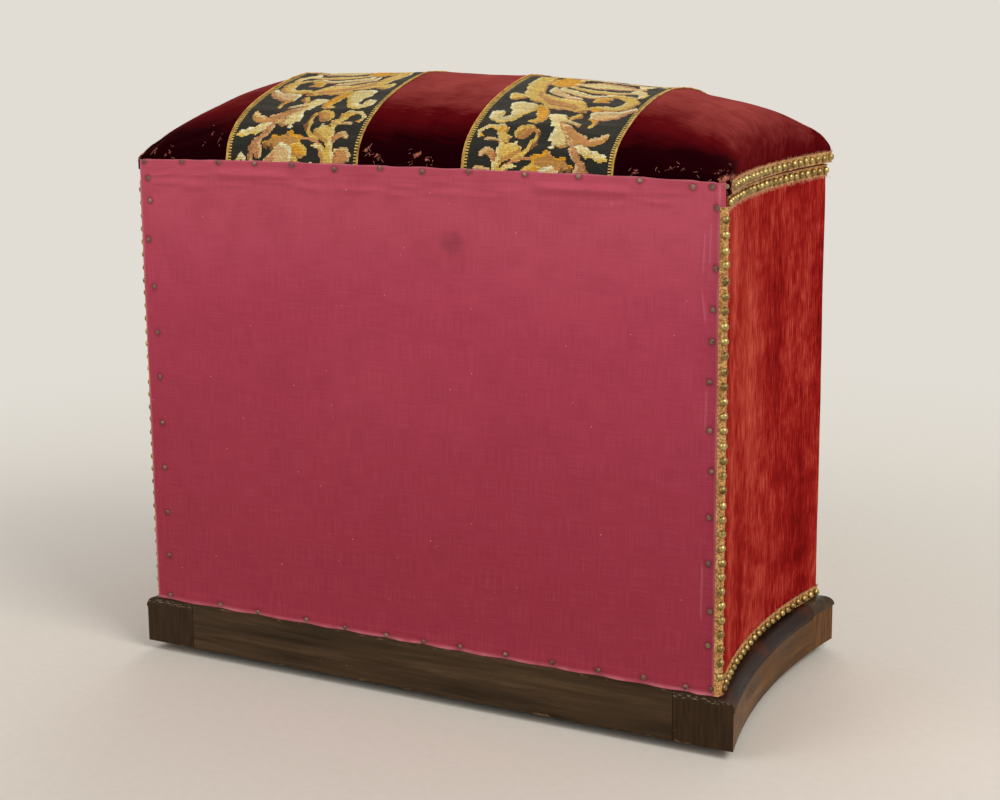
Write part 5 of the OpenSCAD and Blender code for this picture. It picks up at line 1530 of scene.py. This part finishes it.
# Places of the tacks in the photograph: x and z on the cloth before it is drawn up
TOP_TACKS = [
    (294.8, 500.8), (249.8, 500.6), (207.0, 500.6), (165.6, 500.4), (124.2, 500.1), (77.5, 497.6),
    (28.5, 500.4), (-14.4, 498.8), (-61.3, 500.4), (-116.5, 500.1), (-167.3, 500.4), (-223.8, 499.7),
    (-271.0, 497.3), (-287.9, 498.6),
]
LEFT_TACKS = [
    (-292.4, 481.6), (-292.3, 431.6), (-290.0, 396.9), (-289.3, 369.6), (-287.8, 334.5), (-288.3, 292.6),
    (-290.3, 257.2), (-288.9, 216.6), (-288.3, 175.4), (-290.4, 132.4), (-289.0, 101.6), (-292.8, 62.4),
]
RIGHT_TACKS = [
    (291.3, 484.5), (289.7, 463.0), (293.3, 425.0), (288.9, 378.0), (287.0, 332.5), (287.0, 287.6),
    (286.5, 240.3), (286.0, 194.4), (285.3, 147.9), (285.2, 102.9), (286.3, 60.6),
]
FOOT_TACKS = [
    (224.4, 59.7), (179.4, 58.7), (123.0, 60.2), (78.3, 58.7), (33.4, 58.8), (-7.6, 58.9), (-46.4, 60.6),
    (-93.4, 60.4), (-140.9, 60.8), (-185.9, 61.1), (-229.8, 62.1), (-268.8, 60.1),
]
ALL_TACKS = TOP_TACKS + LEFT_TACKS + RIGHT_TACKS + FOOT_TACKS
TACK_REACH, TACK_STAND = 6.0, 0.25  # how far round it a tack holds the cloth down, and to what height
CORNER_TACK = (-300.6, 150.9, 500.7)  # a bare tack in the torn velvet of the lid's left back corner
CLOTH_X = HALF_W - FIT
CLOTH_LOW, CLOTH_HIGH = BOX_Z + FIT, 503.0
TOP_TACKS_Z = 499  # about where the top row is, at which the side rows end
FOOT_TACKS_X = [-294, 290.8]  # where the side rows begin, between which the foot row is
SIDE_FOLD = 5.2  # from the cloth's left edge to its fold beside the corner braid

# Sharp creases beside the cloth's left edge: x at the top, z of both ends, and how far x runs inwards
CREASES = [(-287.5, 470, 432, 1.0), (-282, 462, 424, 1.5), (-280, 412, 384, -3.5), (-285, 330, 290, 1.0),
           (-283, 176, 120, 1.0)]


def bowed(x, z):
    """Height on the cloth once its top edge is drawn up in the middle."""
    return z + (0.8 + 3.2 * (1 - (x / HALF_W) ** 4)) * smooth_step(z, 430, 500)


def graded(low, high, coarse, fine, band):
    """Places from low to high, closer together within a band of each end."""
    first = np.arange(low, low + band, fine)
    last = np.arange(high, high - band, -fine)[::-1]
    count = int(round((last[0] - first[-1]) / coarse))
    return np.concatenate([first, np.linspace(first[-1], last[0], count + 1)[1:-1], last])


def between(places, at):
    """How far a place lies between its neighbours in a row, as a rise from 0 at each to 1 halfway."""
    places = np.sort(np.asarray(places, float))
    index = np.clip(np.searchsorted(places, at) - 1, 0, len(places) - 2)
    share = (at - places[index]) / (places[index + 1] - places[index])
    return np.sin(math.pi * np.clip(share, 0, 1)) ** 2


def drag_lines(x, z):
    """Soft folds that run between the tacks of the top row, a little below it."""
    chance = np.random.default_rng(83)
    tacks = sorted(p[0] for p in TOP_TACKS)
    height = np.zeros_like(x)
    for left, right in zip(tacks[:-1], tacks[1:]):
        gap = right - left
        if gap < 25:
            continue
        for count in range(2):
            middle = left + gap * chance.uniform(0.3, 0.7)
            drop = chance.uniform(8, 17) + 5 * count
            reach = gap * chance.uniform(0.28, 0.46)
            slope = chance.uniform(-0.09, 0.09)
            wide = chance.uniform(1.7, 3.0)
            lift = chance.uniform(0.6, 1.2) * (1 + 0.4 * smooth_step(middle, -100, 250))
            lift = lift * bell(x, middle, reach)
            centre = TOP_TACKS_Z - drop + slope * (x - middle) + 3.0 * ((x - middle) / gap) ** 2
            height += lift * bell(z, centre, wide) - 0.5 * lift * bell(z, centre + 2.2 * wide, wide)
    return height


def make_back_cloth():
    """One cotton cloth over the back, turned in and tacked all round. Its top edge is tacked to the lid."""
    xs = graded(-CLOTH_X, CLOTH_X, coarse=3.4, fine=0.9, band=26)
    zs = np.concatenate([
        np.arange(CLOTH_LOW, CLOTH_LOW + 16, 1.3),
        np.linspace(CLOTH_LOW + 16.5, CLOTH_HIGH - 45, 112),
        np.linspace(CLOTH_HIGH - 44, CLOTH_HIGH, 44),
    ])
    x, z = np.meshgrid(xs, zs, indexing="ij")
    top_gap = between([p[0] for p in TOP_TACKS] + [-CLOTH_X, CLOTH_X], x)
    foot_gap = between([p[0] for p in FOOT_TACKS] + FOOT_TACKS_X, x)
    left_gap = between([p[1] for p in LEFT_TACKS] + [TOP_TACKS_Z], z)
    right_gap = between([p[1] for p in RIGHT_TACKS] + [TOP_TACKS_Z], z)
    from_top, from_foot = CLOTH_HIGH - z, z - CLOTH_LOW
    from_left, from_right = x + CLOTH_X, CLOTH_X - x
    nearest = np.minimum(np.minimum(from_top, from_foot), np.minimum(from_left, from_right))
    stand = 0.45 * smooth_step(nearest, 11.5, 9.0)  # over the edges that are turned in
    stand += 1.5 * foot_gap * fade(from_foot, 3.6)
    stand += 0.5 * top_gap * fade(from_top, 3.0)
    stand += 0.4 * bell(from_left, SIDE_FOLD, 1.1)
    stand += 0.3 * (left_gap * fade(from_left, 8) + right_gap * fade(from_right, 8))
    stand += 0.3 * soft_noise(x, z, 85, 81) * smooth_step(nearest, 5, 40) + 0.3
    stand += 0.12 * soft_noise(x, z, 22, 82)
    stand += drag_lines(x, z) + 0.5 * edge_creases(x, z)
    roll = bell(bowed(x, z), PART_Z, 4.6)  # the soft bend over the hinge line
    over_hinge = sum(
        smooth_step(x, middle - LEAF_L / 2 - 16, middle - LEAF_L / 2 - 1)
        * smooth_step(x, middle + LEAF_L / 2 + 16, middle + LEAF_L / 2 + 1) for middle in (-HINGE_X, HINGE_X))
    stand = np.maximum(stand, (0.5 + 2.7 * over_hinge) * roll)
    for tack_x, tack_z in ALL_TACKS:
        hold = bell(np.hypot(x - tack_x, z - tack_z), 0, TACK_REACH)
        stand = stand * (1 - hold) + TACK_STAND * hold
    stand = np.maximum(stand, 0.02)
    ripple = 0.35 * soft_noise(x, z * 0, 17, 84)
    z = z + (ripple - 0.6 * top_gap) * fade(from_top, 3) + (0.4 * ripple + 0.15) * fade(from_foot, 3)
    inner = np.stack([x, CLOTH_Y + stand, bowed(x, z)], -1)
    flat = np.stack([x + CLOTH_X, z - CLOTH_LOW], -1)
    mesh = two_faced("back_cotton_cloth", inner + [0, CLOTH_T, 0], inner, flat)
    paint_points(mesh, "rust", np.tile(tack_rust(x, z).reshape(-1), 2))
    # pale: painted highlights along the folds and creases
    paint_points(mesh, "pale", np.tile(fold_highlights(x, z).reshape(-1), 2))
    cloth = set_piece(mesh, "back_cotton", None, "back_cloth", "lid_cloth_flap")
    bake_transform(cloth)


def tack_rust(x, z):
    """Rust that the tacks have left in the cloth, and one old stain near the top."""
    rust = np.zeros_like(x)
    for tack_x, tack_z in ALL_TACKS:
        reach = np.hypot(x - tack_x, z - tack_z)
        rust = np.maximum(rust, 0.8 * np.exp(-((reach / 3.9) ** 4)))
    stain = np.hypot((x + 43.5) / 1.3, z - 439.8)
    return np.maximum(rust, 0.34 * smooth_step(stain, 13, 6))


def fold_highlights(x, z):
    """Painted highlights along the folds: the cloth's top, foot and right edge, the fold by the left braid
    and the creases.
    """
    edges = np.minimum(np.minimum(CLOTH_HIGH - z, (z - CLOTH_LOW) / 2.2), CLOTH_X - x)
    beside_braid = np.abs(x + CLOTH_X - SIDE_FOLD)
    fold = smooth_step(np.minimum(edges, beside_braid), 1.9, 0.4)
    return np.clip(0.8 * fold * (0.75 + 0.4 * soft_noise(x, z / 3, 9, 86)) + 0.4 * edge_creases(x, z), 0, 1)


def edge_creases(x, z):
    """1 along the sharp creases beside the left edge, falling to 0 at their sides and ends."""
    mark = np.zeros_like(x)
    for at_x, high, low, run in CREASES:
        share = (high - z) / (high - low)
        line = at_x + run * share
        ends = smooth_step(share, 0, 0.12) * smooth_step(share, 1, 0.8)
        mark = np.maximum(mark, bell(x, line, 0.75) * ends)
    return mark


def make_tacks():
    """Flat tacks along the cloth's edges, and the bare one at the lid's corner."""
    chance = np.random.default_rng(91)
    face = CLOTH_Y + CLOTH_T + 0.3
    for name, body, node, tacks in (
        ("lid_tack_heads", "lid", "lid_flap_tacks", TOP_TACKS),
        ("back_tack_heads", "box", "back_tacks", LEFT_TACKS + RIGHT_TACKS + FOOT_TACKS),
    ):
        parts = Parts()
        if body == "lid":
            set_heads(parts, TACK_HEAD, [CORNER_TACK], (-0.6, 0.8, 0), UPRIGHT, chance)
        places = [(x, face, bowed(x, z)) for x, z in tacks]
        set_heads(parts, TACK_HEAD, places, (0, 1, 0), UPRIGHT, chance, tilt=0.07, spread=0.04)
        set_piece(parts.mesh(name), "tack_steel", body, node)


# ---------------------------------------------------------------- inside, hinges and castors

def make_lid_lining():
    """Cotton lining under the lid, its edges turned in and tacked."""
    half_x, y0, y1 = 253.0, -93.1, 110.9
    xs, ys = (graded(low, high, coarse=7, fine=2, band=14) for low, high in ((-half_x, half_x), (y0, y1)))
    x, y = np.meshgrid(xs, ys, indexing="ij")
    nearest = np.minimum(half_x - np.abs(x), np.minimum(y - y0, y1 - y))
    sag = 0.5 * smooth_step(nearest, 4, 60) + 0.3 * smooth_step(nearest, 9, 7)
    sag += 0.18 * soft_noise(x, y, 40, 95) * smooth_step(nearest, 4, 20)
    low = np.stack([x, y, LID_Z - 1.1 - sag], -1)
    high = np.stack([x, y, np.full_like(x, LID_Z - 0.1)], -1)
    mesh = two_faced("lid_lining_cloth", low, high, np.stack([x, y], -1))
    piece = set_piece(mesh, "lining", "lid", "lid_lining")
    inset, tack_z = 5.0, LID_Z - 1.25
    row_x = np.linspace(-half_x + inset, half_x - inset, 17)
    row_y = np.linspace(y0 + inset, y1 - inset, 8)
    places = [(a, b, tack_z) for a in row_x for b in (y0 + inset, y1 - inset)]
    places += [(a, b, tack_z) for a in (-half_x + inset, half_x - inset) for b in row_y[1:-1]]
    parts = Parts()
    set_heads(parts, SMALL_TACK, places, (0, 0, -1), (0, 1, 0), np.random.default_rng(97), 0.6, 0.05, 0.04)
    set_piece(parts.mesh("lid_lining_tacks"), "tack_steel", "lid")


def screw_head(radius, rise):
    """A round screw head with a slot, its axis along Z, in the form that set_heads takes."""
    sides, slot, foot = 20, 0.16 * radius, -0.2
    parts = Parts()
    k = np.arange(sides)
    start = math.asin(slot / radius)
    angle = np.linspace(start, math.pi - start, sides)
    for sign in (-1, 1):
        rim = np.stack([radius * np.cos(angle), sign * radius * np.sin(angle)], -1)
        top = upright_at(0.86 * rim, rise)
        top[:, 1] = sign * np.maximum(np.abs(top[:, 1]), slot)
        parts.add(
            np.concatenate([top, upright_at(rim, 0.4 * rise), upright_at(rim, foot)]), [k.tolist()],
            loop_faces(k, k + sides), loop_faces(k + sides, k + 2 * sides), [(k + 2 * sides).tolist()])
    angle = np.linspace(0, 2 * math.pi, 17)[:-1]
    ring = np.column_stack([0.9 * radius * np.cos(angle), 0.9 * radius * np.sin(angle)])
    k = np.arange(16)
    parts.add(
        np.concatenate([upright_at(ring, 0.3 * rise), upright_at(ring, foot)]),
        [k.tolist()], loop_faces(k, k + 16), [(k + 16).tolist()])
    by_size = {}
    for face in parts.faces:
        by_size.setdefault(len(face), []).append(face)
    return (np.concatenate(parts.points), *by_size.values())


def make_screws():
    """Screws in the hinge leaves and the castor plates."""
    chance = np.random.default_rng(99)

    def drive(parts, head, place, out, tilt):
        """One screw, its slot turned by chance."""
        spin = chance.uniform(0, math.pi)
        set_heads(parts, head, [place], (0, 0, out), (math.cos(spin), math.sin(spin), 0), chance, tilt=tilt)

    head = screw_head(3.0, 0.35)
    for body, z, out in (("box", RIM_Z - 0.05, 1), ("lid", LID_Z + 0.05, -1)):
        parts = Parts()
        for side in (-1, 1):
            for share in (-0.36, 0.0, 0.36):
                y = BACK_Y - LEAF_W * (0.62 if share else 0.44)
                drive(parts, head, (side * HINGE_X + share * LEAF_L, y, z), out, 0.01)
        set_piece(parts.mesh(body + "_hinge_screws"), "hinge_brass", body, sharp=30)
    parts = Parts()
    head = screw_head(2.6, 0.7)
    reach = PLATE_W / 2 - 5.2
    corners = [(dx, dy) for dx in (-reach, reach) for dy in (-reach, reach)]
    for side in (-1, 1):
        for middle in CASTOR_YS:
            for dx, dy in corners:
                drive(parts, head, (side * CASTOR_X + dx, middle + dy, PLATE_Z), -1, 0.02)
    set_piece(parts.mesh("castor_plate_screws"), "castor_brass", "box", sharp=30)


# ---------------------------------------------------------------- stage

BACKGROUND = rgb(226, 221, 212)


def make_stage():
    """A pale floor that keeps the object's shadow and runs without an edge into the background."""
    reach = 30.0
    floor = bpy.data.meshes.new("floor")
    corners = [(-reach, -reach, 0), (reach, -reach, 0), (reach, reach, 0), (-reach, reach, 0)]
    floor.from_pydata(corners, [], [(0, 1, 2, 3)])
    f = Finish("pale_floor", Roughness=0.9, Specular_IOR_Level=0.1)
    f.done(f.mix(f.noise(f.place(), 120, detail=3), rgb(214, 209, 200), rgb(222, 218, 210)))
    distance = f.add("VectorMath", {0: f.place()}, operation="LENGTH").outputs["Value"]
    far = f.times(f.in_view(), f.level(distance, 0.3, 1.6))
    backdrop = f.add("Emission", {"Color": BACKGROUND, "Strength": 1.0}).outputs[0]
    both = f.add("MixShader", {0: far, 1: f.shader.outputs["BSDF"], 2: backdrop})
    f.feed(f.end.inputs["Surface"], both.outputs[0])
    floor.materials.append(f.material)
    piece = bpy.data.objects.new("floor", floor)
    bpy.context.scene.collection.objects.link(piece)


def make_world():
    """Pale background in view and in reflections, and a softer even light on the object."""
    world = bpy.data.worlds.new("studio")
    bpy.context.scene.world = world
    world.use_nodes = True
    f = Nodes(world.node_tree)
    light = f.add("Background", {"Color": (1.0, 0.97, 0.93, 1), "Strength": 0.42}).outputs[0]
    seen = f.add("Background", {"Color": BACKGROUND, "Strength": 1.0}).outputs[0]
    both = f.add("MixShader", {0: f.in_view(), 1: light, 2: seen}).outputs[0]
    f.add("OutputWorld", {"Surface": both})


def area_light(name, place, size, power, colour):
    """A soft light that faces the object's middle."""
    data = bpy.data.lights.new(name, "AREA")
    data.shape = "RECTANGLE"
    data.size, data.size_y = size
    data.energy = power
    data.color = colour
    lamp = bpy.data.objects.new(name, data)
    bpy.context.scene.collection.objects.link(lamp)
    turn = (Vector((0.0, 0.0, 0.32)) - Vector(place)).to_track_quat("-Z", "Y").to_matrix().to_4x4()
    lamp.matrix_world = Matrix.Translation(place) @ turn


def make_lights():
    """A warm key light from the left, a fill light behind the camera and one on the front."""
    area_light("key", (-2.5, 0.9, 2.5), (1.6, 1.6), 66, (1.0, 0.95, 0.88))
    area_light("fill", (1.7, 2.5, 1.9), (2.0, 2.0), 32, (1.0, 0.97, 0.94))
    area_light("front_fill", (0.6, -2.6, 2.0), (2.2, 2.0), 30, (1.0, 0.98, 0.96))


def make_camera():
    """The photograph's own view, fitted to the object's corners."""
    yaw, pitch, roll = (math.radians(a) for a in (152.216, -10.254, -0.767))
    forward = Vector((math.sin(yaw) * math.cos(pitch), math.cos(yaw) * math.cos(pitch), math.sin(pitch)))
    level = Vector((math.cos(yaw), -math.sin(yaw), 0.0))
    above = level.cross(forward)
    right = math.cos(roll) * level + math.sin(roll) * above
    up = -math.sin(roll) * level + math.cos(roll) * above
    data = bpy.data.cameras.new("photo_camera")
    data.sensor_fit, data.sensor_width, data.lens = "HORIZONTAL", 36.0, 64.126
    data.shift_x, data.shift_y = 0.04118, -0.09076
    data.clip_start, data.clip_end = 0.02, 100.0
    camera = bpy.data.objects.new("photo_camera", data)
    bpy.context.scene.collection.objects.link(camera)
    turn = Matrix((right, up, -forward)).transposed().to_4x4()
    camera.matrix_world = Matrix.Translation((-0.78424, 1.54482, 0.66502)) @ turn
    bpy.context.scene.camera = camera


def main():
    """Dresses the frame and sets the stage."""
    make_camera()
    dress_frame()
    make_lid_pad()
    make_lid_covers()
    make_box_covers()
    make_lid_cords()
    make_front_cords()
    make_braids()
    make_nails()
    make_frays()
    make_back_cloth()
    make_tacks()
    make_lid_lining()
    make_screws()
    make_stage()
    make_world()
    make_lights()
    bpy.context.scene.view_settings.view_transform = "Standard"


main()
